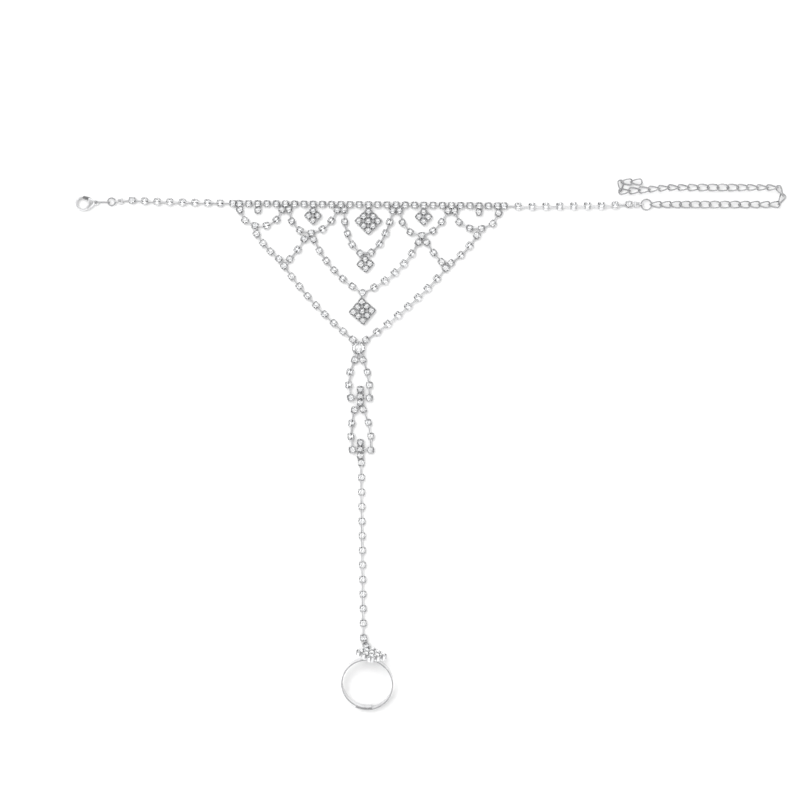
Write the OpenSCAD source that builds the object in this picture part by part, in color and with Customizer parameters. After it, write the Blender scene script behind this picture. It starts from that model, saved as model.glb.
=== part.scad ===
// Barefoot sandal jewel: an ankle chain of set stones with a festooned net below it,
// a stone strand down the foot and an adjustable toe ring, lying flat on a surface.
// Millimetres, +Z up, +X to the right and +Y up the leg. The origin is under the middle
// of the whole piece's box, on the surface.

/* [Cup and stone] */
// Outside radius of a cup's wall
cup_r = 1.27; // [1.26:0.01:1.29]
// Height of a cup's wall, where the stone is widest
cup_h = 1.7; // [1.65:0.01:1.75]
// Height of a cup's floor
floor_h = 0.12; // [0.11:0.01:0.14]
// Radius of the room for the link's ball inside a cup
room_r = 1.05; // [1.03:0.01:1.06]
// Height of that room
room_h = 1.08; // [1.06:0.01:1.1]
// Radius of a stone over its corners
stone_r = 1.15; // [1.14:0.01:1.17]
// Radius of a stone's flat table
table_r = 0.62; // [0.5:0.01:0.8]
// Height of a stone's crown over its widest plane
crown_h = 0.45; // [0.35:0.01:0.55]
// Distance from a cup's middle to the outside of its prongs
prong_reach = 1.4; // [1.36:0.01:1.42]
// Width of a prong
prong_w = 0.42; // [0.35:0.01:0.45]
// Spacing of cups that are soldered side by side
solder_pitch = 2.5; // [2.48:0.01:2.52]

/* [Link between cups] */
// Radius of the bar from one cup to the next
bar_r = 0.2; // [0.15:0.01:0.22]
// Radius of the ball on the bar's end
ball_r = 0.34; // [0.33:0.01:0.35]
// Distance from the ball's middle to the middle of the cup that holds it
ball_seat = 0.46; // [0.45:0.01:0.48]
// Gap between a bar and the slot that it passes through
slot_gap = 0.12; // [0.11:0.01:0.13]

/* [Large stone] */
// Radius of the large stone's setting
large_r = 2.45; // [2.3:0.05:2.5]
// Height of the large stone's widest plane
large_girdle_z = 2.1; // [2:0.05:2.3]
// Height of the large stone's crown over its widest plane
large_crown_h = 0.9; // [0.8:0.05:1]

/* [Toe ring] */
// Inside radius of the band
band_r = 8.85; // [8.6:0.05:9]
// Thickness of the band
band_t = 0.5; // [0.45:0.05:0.6]
// Height of the band along its axis
band_h = 3; // [2.6:0.1:3.2]
// Gap between the band's overlapping ends
lap_gap = 0.12; // [0.1:0.01:0.15]
// Thickness of the pad between the band and the diamond of stones
pad_t = 0.3; // [0.25:0.05:0.5]
// Size of the ring's cups against the chain's
head_scale = 1.15; // [1.1:0.01:1.18]
// Direction in which the pad points, from +X
head_turn = 81.4; // [80:0.1:83]

/* [Rings and extender] */
// Middle radius of the jump ring at the clasp
clasp_ring_r = 1.4; // [1.35:0.05:1.45]
// Middle radius of the jump ring at the extender
extender_ring_r = 1.93; // [1.9:0.01:1.95]
// Wire radius of the jump rings
ring_wire_r = 0.25; // [0.22:0.01:0.27]
// Wire radius of an extender link
link_wire_r = 0.19; // [0.17:0.01:0.2]
// Half length of an extender link along its wire's middle
link_a = 2.13; // [2.12:0.01:2.14]
// Half width of an extender link along its wire's middle
link_b = 1.2; // [1.15:0.01:1.25]
// Spacing of the extender's links
link_pitch = 3.6; // [3.58:0.01:3.62]
// Twist of an extender link at each end
link_twist = 45; // [44:1:46]

/* [Clasp] */
// Thickness of the clasp
clasp_t = 2; // [1.9:0.05:2.1]
// Outside radius of the clasp's hook
hook_r = 2.77; // [2.7:0.01:2.8]
// Width of the hook's arm
hook_w = 0.8; // [0.75:0.05:0.9]
// Running gap round the lever
lever_gap = 0.12; // [0.1:0.01:0.14]

/* [Hidden] */
$fn = 48;

metal = "silver";
crystal = "aliceblue";

// Height of a stone's widest plane over the cup's base
girdle_z = cup_h;
// Bottom and top of a prong, and how far it reaches in over the stone
prong_low = 1.25;
prong_high = 1.95;
prong_grip = 0.7;
// Depth of a crown's lower edge under the rim of its setting
crown_sink = 0.05;

// The layout below is drawn from the middle stone of the ankle row. The whole piece is
// then moved so that the middle of its box lies over the origin.
layout_shift = [-22.63, 87.53, 0];

// A strand's columns: start and end of its line of stones, how far it sags to the right
// of its chord, the power that shapes the sag (1 round, 2 hanging), how far the sag leans
// along the chord, how far it bulges past its ends, its count of cups, the roll of its
// cups near the start and near the end, positive to the left of the way it runs, and the
// cups inside it that lie flat because others are soldered to them.
START = 0;
END = 1;
SAG = 2;
POWER = 3;
LEAN = 4;
BULGE = 5;
COUNT = 6;
ROLL_A = 7;
ROLL_B = 8;
FLAT = 9;
path_steps = 60;

row_line = [[-47.1, 0.4], [47.1, -0.5], 0, 2, 0, 0, 29, 0, 0, []];
left_line = [[-86.3, 1.5], [-49.6, 0.42], 0, 2, 0, 0, 9, 25, 10, []];
right_line = [[49.6, -0.52], [95.1, 0], 0, 2, 0, 0, 10, 35, 35, []];
outer_l = [[-47, -2.08], [-31.53, -1.92], 6, 1.25, -0.3, 0, 6, 5, 15, [2]];
outer_r = [[47.55, -3.3], [31.53, -2.5], -6.1, 1, 0.3, 0, 6, -6, 0, [2]];
inner_l = [[-29.03, -1.92], [-11.35, -2.1], 8.5, 1.4, -1.2, 0, 7, 5, 20, [3]];
inner_r = [[29.03, -2.5], [11.35, -2.3], -9, 1.5, 1.2, 0, 7, -12, 0, [3]];
centre_line = [[-8.85, -2.1], [8.85, -2.3], 16.1, 1.45, -1.2, 0, 10, 5, 25, [4, 5]];
side_l = [[-40.9, -10.8], [-32.7, -19.9], 0.5, 2, 0, 0, 4, 8, 8, []];
side_r = [[39.6, -11.4], [30.2, -21.4], -0.4, 2, 0, 0, 4, -30, -30, []];
cross_l = [[-23.5, -12.7], [-28.7, -19.9], -0.2, 2, 0, 0, 3, -20, -20, []];
cross_r = [[21.3, -13.9], [26.7, -21], 0.3, 2, 0, 0, 3, 8, 8, []];
middle_l = [[-20, -12.9], [-2.2, -32.3], 2, 2, 0, 0, 7, 8, 8, []];
middle_r = [[18.2, -13.9], [-2.2, -32.3], -2.1, 2, 0, 0, 7, -30, -30, []];
edge_l = [[-30.8, -22.6], [-5.8, -49.3], 1.2, 2, 0, 0, 9, 8, 8, []];
edge_r = [[28.2, -23.4], [-0.9, -49.4], -0.8, 2, 0, 0, 9, -32, -32, []];
upper_l = [[-5.1, -56.8], [-6.6, -70.6], 1.5, 2, 0, 0, 4, -25, -25, []];
upper_r = [[-1.95, -56.8], [0.4, -70.7], -0.9, 2, 0, 0, 4, 8, 8, []];
lower_l = [[-5.2, -75.1], [-6, -89.6], 0.9, 2, 0, 0, 4, -20, -20, []];
lower_r = [[-1.9, -74.9], [0.9, -89.7], -1.1, 2, 0, 0, 4, 8, 8, []];
toe_line = [[-2.65, -94.4], [-1.8, -158.2], 0, 2, 0, 0, 13, 6, 6, []];

// Cups that hold the net in the row, counted from the left end
drop_cups = [2, 26];
diamond_cups = [8, 20];
junction_cups = [5, 11, 17, 23];
middle_cup = 14;
row_last = 28;

// Cups soldered under the row, seen from the row's cup
drop_step = [0, -solder_pitch];
// Turn of the two lower diamonds
diamond_turn = 4;

// Middles of the neck's clusters
large_at = [-3.6, -52.4];
flower_upper_at = [-3, -70];
flower_lower_at = [-2.95, -89.4];
// Height of a solder seam's middle, and its width
seam_z = 0.6;
seam_w = 0.9;

// The toe ring's middle on its own axis, and the flat cup that ends the strand
ring_at = [-0.5, -174.4];
ring_end_cup = [-0.95, -161, -70, 0];

// Place of a strand's line at the share u of its way
function line_at(s, u) =
    let (
        span = s[END] - s[START],
        along = span / norm(span),
        right = [along.y, -along.x],
        turn = 180 * u,
        belly = pow(sin(turn), s[POWER]),
        reach = -cos(turn) * (1 + s[BULGE] * sin(turn))
    )
    (s[START] + s[END]) / 2 + span / 2 * reach
        + right * s[SAG] * belly + along * s[LEAN] * sin(turn);

// Length of a strand's line up to each step
function line_runs(s) = [
    for (k = 0, run = 0; k <= path_steps;
         run = run + norm(line_at(s, (k + 1) / path_steps) - line_at(s, k / path_steps)),
         k = k + 1) run
];

// Middles of a strand's cups, evenly spaced along its line
function line_points(s) =
    let (
        runs = line_runs(s),
        table = [for (k = [0:path_steps]) [runs[k], k / path_steps]],
        last = s[COUNT] - 1
    )
    [for (i = [0:last]) line_at(s, lookup(runs[path_steps] * i / last, table))];

// A strand's cups as rows of x, y, heading and roll; both end cups lie flat
function cups(s) =
    let (points = line_points(s), last = s[COUNT] - 1)
    [for (i = [0:last])
        let (
            before = points[max(i - 1, 0)],
            after = points[min(i + 1, last)],
            ease = min(1, i / 1.5, (last - i) / 1.5),
            level = len(search(i, s[FLAT])) > 0,
            roll = level ? 0 : s[ROLL_A] + (s[ROLL_B] - s[ROLL_A]) * i / last
        )
        [points[i].x, points[i].y, heading(before, after), ease * roll]
    ];

// The way that a cup's stone faces
function cup_up(c) =
    [-sin(c[2]) * sin(c[3]), cos(c[2]) * sin(c[3]), cos(c[3])];
// Height of a cup's girdle with its base edge on the surface
function cup_lift(c) = cup_r * sin(abs(c[3])) + girdle_z * cos(c[3]);
// Middle of the room inside a cup
function hub(c) =
    [c.x, c.y, cup_lift(c)] + (floor_h + room_h / 2 - girdle_z) * cup_up(c);
// The same cup turned flat to a new heading
function turned(c, way) = [c.x, c.y, way, 0];
// Heading from one place to another
function heading(a, b) = atan2(b.y - a.y, b.x - a.x);
// A flat cup at a place
function flat_cup(p, way = 0) = [p.x, p.y, way, 0];

row = cups(row_line);
row_slope = row[0][2];

module place(c) {
    translate([c.x, c.y, cup_lift(c)])
        rotate([0, 0, c[2]])
            rotate([-c[3], 0, 0])
                translate([0, 0, -girdle_z])
                    children();
}

// Turns the Z axis to run from one point to another
module along(from, to) {
    way = to - from;
    translate(from)
        rotate([0, acos(way.z / norm(way)), atan2(way.y, way.x)])
            children();
}

module prongs(reach = prong_reach, grip = prong_grip, low = prong_low, high = prong_high) {
    color(metal)
        for (k = [0:3])
            rotate([0, 0, 45 + 90 * k])
                translate([reach - grip, -prong_w / 2, low])
                    cube([grip, prong_w, high - low]);
}

// Crown of a cut stone: flat facets round a flat table, with a facet under each prong
module crown(r, table, h, sides) {
    flat = r * cos(180 / sides);
    lean = atan((flat - table * cos(180 / sides)) / h);
    color(crystal)
        rotate([0, 0, 45])
            difference() {
                translate([0, 0, -crown_sink])
                    rotate([0, 0, 180 / sides])
                        cylinder(h = h + crown_sink, r = r, $fn = sides);
                for (k = [1:sides])
                    rotate([0, 0, 360 * k / sides])
                        translate([flat, 0, 0])
                            rotate([0, -lean, 0])
                                translate([0, -r, -crown_sink])
                                    cube([r, 2 * r, 2 * h]);
            }
}
module stone() {
    translate([0, 0, cup_h - crown_sink])
        crown(stone_r, table_r, crown_h + crown_sink, 8);
}

module plain_cup() {
    color(metal) cylinder(h = cup_h, r = cup_r);
    prongs();
    stone();
}

// A cup on the bar chain: balls come in from the hubs listed, and its own bar goes out
module linked_cup(c, from = [], to = undef) {
    middle = hub(c);
    color(metal)
        difference() {
            place(c) cylinder(h = cup_h, r = cup_r);
            if (len(from) > 0)
                place(c) translate([0, 0, floor_h]) cylinder(h = room_h, r = room_r);
            for (other = from)
                along(middle, other) cylinder(h = 1.8, r = bar_r + slot_gap);
        }
    place(c) {
        prongs();
        stone();
    }
    if (!is_undef(to)) link_bar(middle, to, room_r + 0.06);
}

// Bar out of a cup's wall with its ball inside the next cup
module link_bar(from, to, start) {
    color(metal) {
        reach = norm(to - from) - ball_seat;
        along(from, to) {
            translate([0, 0, start]) cylinder(h = reach - start, r = bar_r);
            translate([0, 0, reach]) sphere(r = ball_r);
        }
    }
}

// The i-th cup of a strand as it hangs between its neighbours
module strand_cup(c, i, also = []) {
    last = len(c) - 1;
    linked_cup(
        c[i],
        from = concat(i > 0 ? [hub(c[i - 1])] : [], also),
        to = i < last ? hub(c[i + 1]) : undef
    );
}

module strand_cups(s, first, last) {
    c = cups(s);
    for (i = [first:last])
        strand_cup(c, i);
}

// Solder between two flat cups that stand a little apart
module seam(a, b, ra = cup_r, rb = cup_r) {
    way = [b.x - a.x, b.y - a.y, 0];
    color(metal)
        translate([a.x, a.y, seam_z])
            rotate([0, 0, atan2(way.y, way.x)])
                translate([ra - 0.12, -seam_w / 2, -0.25])
                    cube([norm(way) - ra - rb + 0.24, seam_w, 0.5]);
}

// Distance from a diamond's middle to the middle of its top cup
function diamond_reach(size) = (size - 1) * solder_pitch / sqrt(2);
// Middle of the top cup of a diamond that is turned about its own middle
function diamond_top(at, size, turn) =
    [at.x - diamond_reach(size) * sin(turn), at.y + diamond_reach(size) * cos(turn)];

// Square of cups on one corner, size cups along each side
module cup_diamond(at, size, turn = 0) {
    half = (size - 1) / 2;
    translate([at.x, at.y, 0])
        rotate([0, 0, turn + 45])
            for (i = [-half:half], j = [-half:half])
                translate([solder_pitch * i, solder_pitch * j, 0])
                    plain_cup();
}

module row_cups(list) {
    for (i = list)
        strand_cup(row, i);
}

function under_row(i, step) =
    let (c = row[i])
    [c.x + step.x * cos(row_slope) - step.y * sin(row_slope),
     c.y + step.x * sin(row_slope) + step.y * cos(row_slope)];

// A single stone under a row cup
module row_drop(i) {
    strand_cup(row, i);
    place(flat_cup(under_row(i, drop_step), row_slope)) plain_cup();
}

// A diamond of stones under a row cup
module row_diamond(i, size) {
    strand_cup(row, i);
    cup_diamond(under_row(i, drop_step - [0, diamond_reach(size)]), size, row_slope);
}

// A row cup with the two cups where strands of the net start or end
module row_junction(i, left, left_index, right, right_index) {
    strand_cup(row, i);
    strand_cup(left, left_index);
    strand_cup(right, right_index);
    seam(row[i], left[left_index]);
    seam(row[i], right[right_index]);
    seam(left[left_index], right[right_index]);
}

module row_left() {
    row_cups([1, 3, 4, 6, 7, 9, 10, 12, 13]);
}
module row_right() {
    row_cups([15, 16, 18, 19, 21, 22, 24, 25, 27]);
}
module drop_left() { row_drop(drop_cups[0]); }
module drop_right() { row_drop(drop_cups[1]); }
module diamond_left() { row_diamond(diamond_cups[0], 2); }
module diamond_right() { row_diamond(diamond_cups[1], 2); }
module diamond_centre() { row_diamond(middle_cup, 3); }
module junction_outer_left() {
    row_junction(junction_cups[0], cups(outer_l), 5, cups(inner_l), 0);
}
module junction_inner_left() {
    row_junction(junction_cups[1], cups(inner_l), 6, cups(centre_line), 0);
}
module junction_inner_right() {
    row_junction(junction_cups[2], cups(centre_line), 9, cups(inner_r), 6);
}
module junction_outer_right() {
    row_junction(junction_cups[3], cups(inner_r), 0, cups(outer_r), 5);
}

// Where a side chain, the row and an outer scallop meet
module left_corner() {
    chain = cups(left_line);
    scallop = cups(outer_l);
    strand_cup(row, 0);
    strand_cup(chain, 8);
    strand_cup(scallop, 0);
    seam(chain[8], row[0]);
    seam(row[0], scallop[0]);
}
module right_corner() {
    chain = cups(right_line);
    scallop = cups(outer_r);
    strand_cup(row, row_last);
    strand_cup(chain, 0);
    strand_cup(scallop, 0);
    seam(row[row_last], chain[0]);
    seam(row[row_last], scallop[0]);
}

module left_chain() {
    chain = cups(left_line);
    strand_cup(chain, 0, also = [left_connector_hub]);
    for (i = [1:7])
        strand_cup(chain, i);
}
module right_chain() {
    chain = cups(right_line);
    for (i = [1:8])
        strand_cup(chain, i);
    strand_cup(chain, 9, also = [right_connector_hub]);
}

// Middles of the end connectors' bodies and of their loops
connector_z = 1.05;
left_connector_hub = [-90.6, 1.15, connector_z];
right_connector_hub = [98, 0, connector_z];
loop_r = 0.8;
loop_wire_r = 0.22;
loop_step = 1.6;

// Folded end piece: a ball inside the last cup, a pinched body and an upright loop
module connector(c, middle) {
    way = sign(middle.x - c.x);
    link_bar(middle, hub(c), 0.2);
    color(metal)
        translate(middle) {
            translate([-0.9, -1.1, -0.6]) cube([1.8, 2.2, 1.2]);
            translate([way * loop_step, 0, 0])
                rotate([90, 0, 0])
                    rotate_extrude()
                        translate([loop_r, 0]) circle(r = loop_wire_r, $fn = 24);
        }
}
module left_connector() { connector(cups(left_line)[0], left_connector_hub); }
module right_connector() { connector(cups(right_line)[9], right_connector_hub); }

// A round jump ring that lies level in the loops it joins
module jump_ring(at, r) {
    color(metal)
        translate(at)
            rotate_extrude()
                translate([r, 0]) circle(r = ring_wire_r, $fn = 24);
}
clasp_ring_at = [-93.8, 0.98, 1.05];
extender_ring_at = [101.5, -0.1, 1.15];
module clasp_ring() { jump_ring(clasp_ring_at, clasp_ring_r); }
module extender_ring() { jump_ring(extender_ring_at, extender_ring_r); }

// Net
module scallop_outer_left() {
    c = cups(outer_l);
    for (i = [1, 3, 4])
        strand_cup(c, i);
    side_start(c, 2, side_l);
}
module scallop_outer_right() {
    c = cups(outer_r);
    for (i = [1, 3, 4])
        strand_cup(c, i);
    side_start(c, 2, side_r);
}

// The scallop's lowest cup, soldered to the first cup of the side below it
module side_start(c, i, s) {
    first = cups(s)[0];
    strand_cup(c, i);
    strand_cup(cups(s), 0);
    seam(c[i], first);
}

module scallop_inner_left() {
    c = cups(inner_l);
    for (i = [1, 2, 4, 5])
        strand_cup(c, i);
    scallop_foot(c, cups(cross_l), cups(middle_l));
}
module scallop_inner_right() {
    c = cups(inner_r);
    for (i = [1, 2, 4, 5])
        strand_cup(c, i);
    scallop_foot(c, cups(cross_r), cups(middle_r));
}

// The inner scallop's lowest cup, soldered to the two strands that go down from it
module scallop_foot(c, cross, middle) {
    strand_cup(c, 3);
    strand_cup(cross, 0);
    strand_cup(middle, 0);
    seam(c[3], cross[0]);
    seam(c[3], middle[0]);
}

module scallop_centre() {
    strand_cups(centre_line, 1, 3);
    strand_cups(centre_line, 6, 8);
}

// The two lowest cups of the middle scallop with the small diamond soldered below them
module diamond_upper() {
    c = cups(centre_line);
    left = turned(c[4], heading(c[3], c[4]));
    right = turned(c[5], heading(c[5], c[6]));
    at = [(left.x + right.x) / 2 - 0.1, (left.y + right.y) / 2 - 4.1];
    top = diamond_top(at, 2, diamond_turn);
    linked_cup(left, from = [hub(c[3])]);
    linked_cup(right, to = hub(c[6]));
    seam(left, right);
    cup_diamond(at, 2, diamond_turn);
    seam(left, top);
    seam(right, top);
}

// The cup where both middle strands meet, with the large diamond soldered below it
module diamond_lower() {
    left = cups(middle_l);
    right = cups(middle_r);
    meeting = flat_cup(left[6], 34);
    at = [meeting.x, meeting.y - 6.7];
    linked_cup(meeting, from = [hub(left[5]), hub(right[5])]);
    cup_diamond(at, 3, diamond_turn);
    seam(meeting, diamond_top(at, 3, diamond_turn));
}

module side_left() { strand_cups(side_l, 1, 2); }
module side_right() { strand_cups(side_r, 1, 2); }
module cross_left() { strand_cups(cross_l, 1, 1); }
module cross_right() { strand_cups(cross_r, 1, 1); }
module middle_left() { strand_cups(middle_l, 1, 5); }
module middle_right() { strand_cups(middle_r, 1, 5); }
module edge_left() { strand_cups(edge_l, 1, 7); }
module edge_right() { strand_cups(edge_r, 1, 7); }

// Three soldered cups: a side ends, a cross strand ends and an edge begins
module side_joint(side, cross, edge) {
    strand_cup(side, 3);
    strand_cup(cross, 2);
    strand_cup(edge, 0);
    seam(side[3], edge[0]);
    seam(cross[2], edge[0]);
}
module side_joint_left() { side_joint(cups(side_l), cups(cross_l), cups(edge_l)); }
module side_joint_right() { side_joint(cups(side_r), cups(cross_r), cups(edge_r)); }

// Neck
// Large round setting with a stone of twelve facets, and the four cups soldered to it
module large_stone() {
    left = cups(edge_l);
    right = cups(edge_r);
    lower_left = cups(upper_l);
    lower_right = cups(upper_r);
    translate([large_at.x, large_at.y, 0]) {
        color(metal) cylinder(h = large_girdle_z, r = large_r);
        prongs(reach = large_r + 0.1, grip = 1, high = large_girdle_z + 0.3);
        translate([0, 0, large_girdle_z - crown_sink])
            crown(large_r - 0.2, large_r - 1.1, large_crown_h + crown_sink, 12);
    }
    strand_cup(left, 8);
    strand_cup(right, 8);
    strand_cup(lower_left, 0);
    strand_cup(lower_right, 0);
    for (c = [left[8], right[8], lower_left[0], lower_right[0]])
        seam(large_at, c, ra = large_r);
    seam(lower_left[0], lower_right[0]);
}

module loop_upper_left() { strand_cups(upper_l, 1, 2); }
module loop_upper_right() { strand_cups(upper_r, 1, 2); }
module loop_lower_left() { strand_cups(lower_l, 1, 2); }
module loop_lower_right() { strand_cups(lower_r, 1, 2); }

// Three cups in a column with a cup at each side, where two strands come in
module flower(at, left, right) {
    for (k = [-1:1])
        translate([at.x, at.y + solder_pitch * k, 0])
            plain_cup();
    strand_cup(left, 3);
    strand_cup(right, 3);
    seam(at, left[3]);
    seam(at, right[3]);
}
module flower_upper() {
    left = cups(lower_l);
    right = cups(lower_r);
    foot = [flower_upper_at.x, flower_upper_at.y - solder_pitch];
    flower(flower_upper_at, cups(upper_l), cups(upper_r));
    strand_cup(left, 0);
    strand_cup(right, 0);
    seam(foot, left[0]);
    seam(foot, right[0]);
}
module flower_lower() {
    strand = cups(toe_line);
    foot = [flower_lower_at.x, flower_lower_at.y - solder_pitch];
    flower(flower_lower_at, cups(lower_l), cups(lower_r));
    strand_cup(strand, 0);
    seam(foot, strand[0]);
}

module toe_strand() {
    c = cups(toe_line);
    for (i = [1:11])
        strand_cup(c, i);
    linked_cup(c[12], from = [hub(c[11])], to = hub(ring_end_cup));
}

// Toe ring: an open band whose ends pass each other, a pad, and a diamond of nine stones.
// It lies on the lower corner of the diamond and on the band's far edge.
head_x = band_r + band_t + pad_t;
head_step = diamond_reach(3) * head_scale;
head_half = head_step + cup_r * head_scale;
far_x = band_r + band_t * 2 + lap_gap;
ring_tilt = atan((head_half - band_h / 2) / (head_x + far_x));
ring_lift = far_x * sin(ring_tilt) + band_h / 2 * cos(ring_tilt);
inner_lap = 199;
outer_lap = 197.5;
corner_hub = head_x + (floor_h + room_h / 2) * head_scale;

// The ring's own frame: its axis along Z and its pad towards X
module ring_frame() {
    translate([ring_at.x, ring_at.y, ring_lift])
        rotate([0, 0, head_turn])
            rotate([0, -ring_tilt, 0])
                children();
}
// A point of the ring's frame, in the layout
function from_ring(p) =
    let (
        x = p.x * cos(ring_tilt) - p.z * sin(ring_tilt),
        z = p.x * sin(ring_tilt) + p.z * cos(ring_tilt)
    )
    [ring_at.x + x * cos(head_turn) - p.y * sin(head_turn),
     ring_at.y + x * sin(head_turn) + p.y * cos(head_turn),
     ring_lift + z];

module band_arc(r, sweep) {
    rotate_extrude(angle = sweep, $fn = 96)
        translate([r, -band_h / 2]) square([band_t, band_h]);
}

module toe_ring() {
    step = (band_t + lap_gap) / 2;
    corner = from_ring([corner_hub, 0, -head_step]);
    ring_frame() {
        color(metal) {
            band_arc(band_r, inner_lap);
            translate([-step, 0, 0])
                rotate([0, 0, -outer_lap])
                    band_arc(band_r + step, outer_lap);
            translate([band_r + band_t / 2, 0, 0])
                rotate([0, 90, 0])
                    cylinder(h = band_t / 2 + pad_t + 0.05, r = 2.6);
        }
        translate([head_x, 0, 0])
            rotate([90, 0, 90])
                scale(head_scale)
                    cup_diamond([0, 0], 3);
    }
    linked_cup(ring_end_cup, from = [hub(cups(toe_line)[12])]);
    color(metal)
        along(hub(ring_end_cup), corner)
            translate([0, 0, cup_r - 0.1])
                cylinder(h = norm(corner - hub(ring_end_cup)) - cup_r + 0.1, r = 0.45);
}

// Extender: twisted links, each hung in the flat end of the one before. Its runs' columns
// are a count of links, the turn at each link, and the most that the run's links lie flat.
extender_start = [102.8, -0.05];
extender_runs = [
    [13, 0, 40],
    [2, 60, 0],
    [1, 60, 0],
    [10, 0, 45],
    [1, 5, 0],
    [4, 0, 20],
    [1, -95, 0],
    [1, -90, 0],
    [1, 0, 0]
];

// Heading and roll of each link, run by run; a link rolled by the twist has its far end
// flat and its near end upright, which lets the chain turn
function run_links(run, heading) = [
    for (k = [0:run[0] - 1])
        [heading + run[1] * (k + 1), link_twist - run[2] * pow(sin(180 * (k + 0.5) / run[0]), 2)]
];
function extender_links(i = 0, heading = 0) =
    i == len(extender_runs) ? []
    : concat(
        run_links(extender_runs[i], heading),
        extender_links(i + 1, heading + extender_runs[i][0] * extender_runs[i][1])
    );
links = extender_links();
// Lowest height of a link's middle; flatter links hang between their neighbours
link_axis_z = 1.15;
link_count = len(links);
lower_links = 14;
// Near tip of each link
function tips(k = 0, at = extender_start) =
    k == link_count ? []
    : concat([at], tips(k + 1, at + link_pitch * [cos(links[k][0]), sin(links[k][0])]));
link_tips = tips();

// Sides of a link's oval and of its wire
link_sides = 12;
wire_sides = 5;

// Centre line of a link: an oval, twisted along its length and rolled as a whole
function link_points(roll) = [
    for (k = [1:link_sides])
        let (
            turn = 360 * k / link_sides,
            x = link_a * cos(turn),
            y = link_b * sin(turn),
            twist = roll - link_twist * x / link_a
        )
        [x, y * cos(twist), y * sin(twist)]
];

function unit(v) = v / norm(v);

// Points of a link's skin: a pentagon of wire round each point of its centre line
function link_skin(points) =
    let (n = len(points))
    [for (k = [0:n - 1])
        let (
            p = points[k],
            way = unit(points[(k + 1) % n] - points[(k + n - 1) % n]),
            out = unit(p - way * (p * way)),
            side = cross(way, out)
        )
        for (m = [1:wire_sides])
            p + link_wire_r * (out * cos(360 * m / wire_sides) + side * sin(360 * m / wire_sides))
    ];

function link_faces() = [
    for (k = [0:link_sides - 1], m = [0:wire_sides - 1])
        let (
            a = wire_sides * k,
            b = wire_sides * ((k + 1) % link_sides),
            next = (m + 1) % wire_sides
        )
        [a + m, b + m, b + next, a + next]
];

module extender_link(k) {
    points = link_points(links[k][1]);
    lift = max(link_axis_z, link_wire_r - min([for (p = points) p.z]));
    color(metal)
        translate([link_tips[k].x, link_tips[k].y, lift])
            rotate([0, 0, links[k][0]])
                translate([link_a, 0, 0])
                    polyhedron(points = link_skin(points), faces = link_faces());
}

module extender_lower() {
    for (k = [0:lower_links - 1])
        extender_link(k);
}
module extender_upper() {
    for (k = [lower_links:link_count - 1])
        extender_link(k);
}

// Clasp: a hook with two cheeks, a lever on a pin between them, and an eye at its tail
clasp_at = [-104.3, 0.35];
clasp_turn = 4;
pivot = [2.85, 0.95];
pin_r = 0.3;
pin_gap = 0.1;
lever_t = 0.8;
nose_r = 3.05;
eye_at = [4.78, 0.05];
eye_r = 0.75;
eye_wire_r = 0.27;

module clasp_frame() {
    translate([clasp_at.x, clasp_at.y, 0])
        rotate([0, 0, clasp_turn])
            children();
}

// Flat outline of the hook and its neck, without the lever
module clasp_outline() {
    difference() {
        union() {
            circle(r = hook_r);
            polygon([
                [0, -hook_r], [1.4, -2.4], [4.2, -0.75], [4.2, 0.85],
                [3.4, 1.5], [1.6, 2.3], [0, hook_r]
            ]);
        }
        circle(r = hook_r - hook_w);
    }
}

// The part of the hook's ring that the lever takes, up to its nose
module lever_room() {
    intersection() {
        translate(pivot) circle(r = nose_r + lever_gap);
        polygon([[-2, 0.6], [1.5, 0.6], [1.5, 4], [-2, 4]]);
    }
}

module lever_outline() {
    intersection() {
        translate(pivot) circle(r = nose_r);
        polygon([
            [-0.6, 3.1], [0.9, 2.75], [3.15, 1.75], [3.5, 1.2], [3.4, 0.6],
            [2.9, 0.32], [2.4, 0.5], [1.6, 1.2], [-0.6, 2]
        ]);
    }
}

module clasp_body() {
    clasp_frame() {
        color(metal) {
            difference() {
                linear_extrude(height = clasp_t) clasp_outline();
                translate([0, 0, -1]) linear_extrude(height = clasp_t + 2) lever_room();
                translate([1.2, 0.1, clasp_t / 2 - lever_t / 2 - lever_gap])
                    cube([2.5, 4, lever_t + 2 * lever_gap]);
            }
            translate([pivot.x, pivot.y, 0.1]) cylinder(h = clasp_t - 0.2, r = pin_r);
            translate([eye_at.x, eye_at.y, clasp_t / 2])
                rotate_extrude()
                    translate([eye_r, 0]) circle(r = eye_wire_r, $fn = 24);
        }
    }
}

module clasp_lever() {
    clasp_frame()
        color(metal)
            translate([0, 0, clasp_t / 2 - lever_t / 2])
                difference() {
                    linear_extrude(height = lever_t) lever_outline();
                    translate([pivot.x, pivot.y, -1]) cylinder(h = 3, r = pin_r + pin_gap);
                }
}

// Small upright link between the clasp's eye and the jump ring
clasp_link_at = [-97, 0.8, 1.13];
clasp_link_reach = 1.52;
clasp_link_r = 0.9;
clasp_link_wire = 0.22;
module clasp_link() {
    color(metal)
        translate(clasp_link_at)
            rotate([90, 0, 0]) {
                for (side = [-1, 1]) {
                    translate([side * clasp_link_reach, 0, 0])
                        rotate([0, 0, -90 * side])
                            rotate_extrude(angle = 180)
                                translate([clasp_link_r, 0])
                                    circle(r = clasp_link_wire, $fn = 24);
                    translate([-clasp_link_reach, side * clasp_link_r, 0])
                        rotate([0, 90, 0])
                            cylinder(h = 2 * clasp_link_reach, r = clasp_link_wire, $fn = 24);
                }
            }
}

module laid() {
    translate(layout_shift) children();
}

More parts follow.
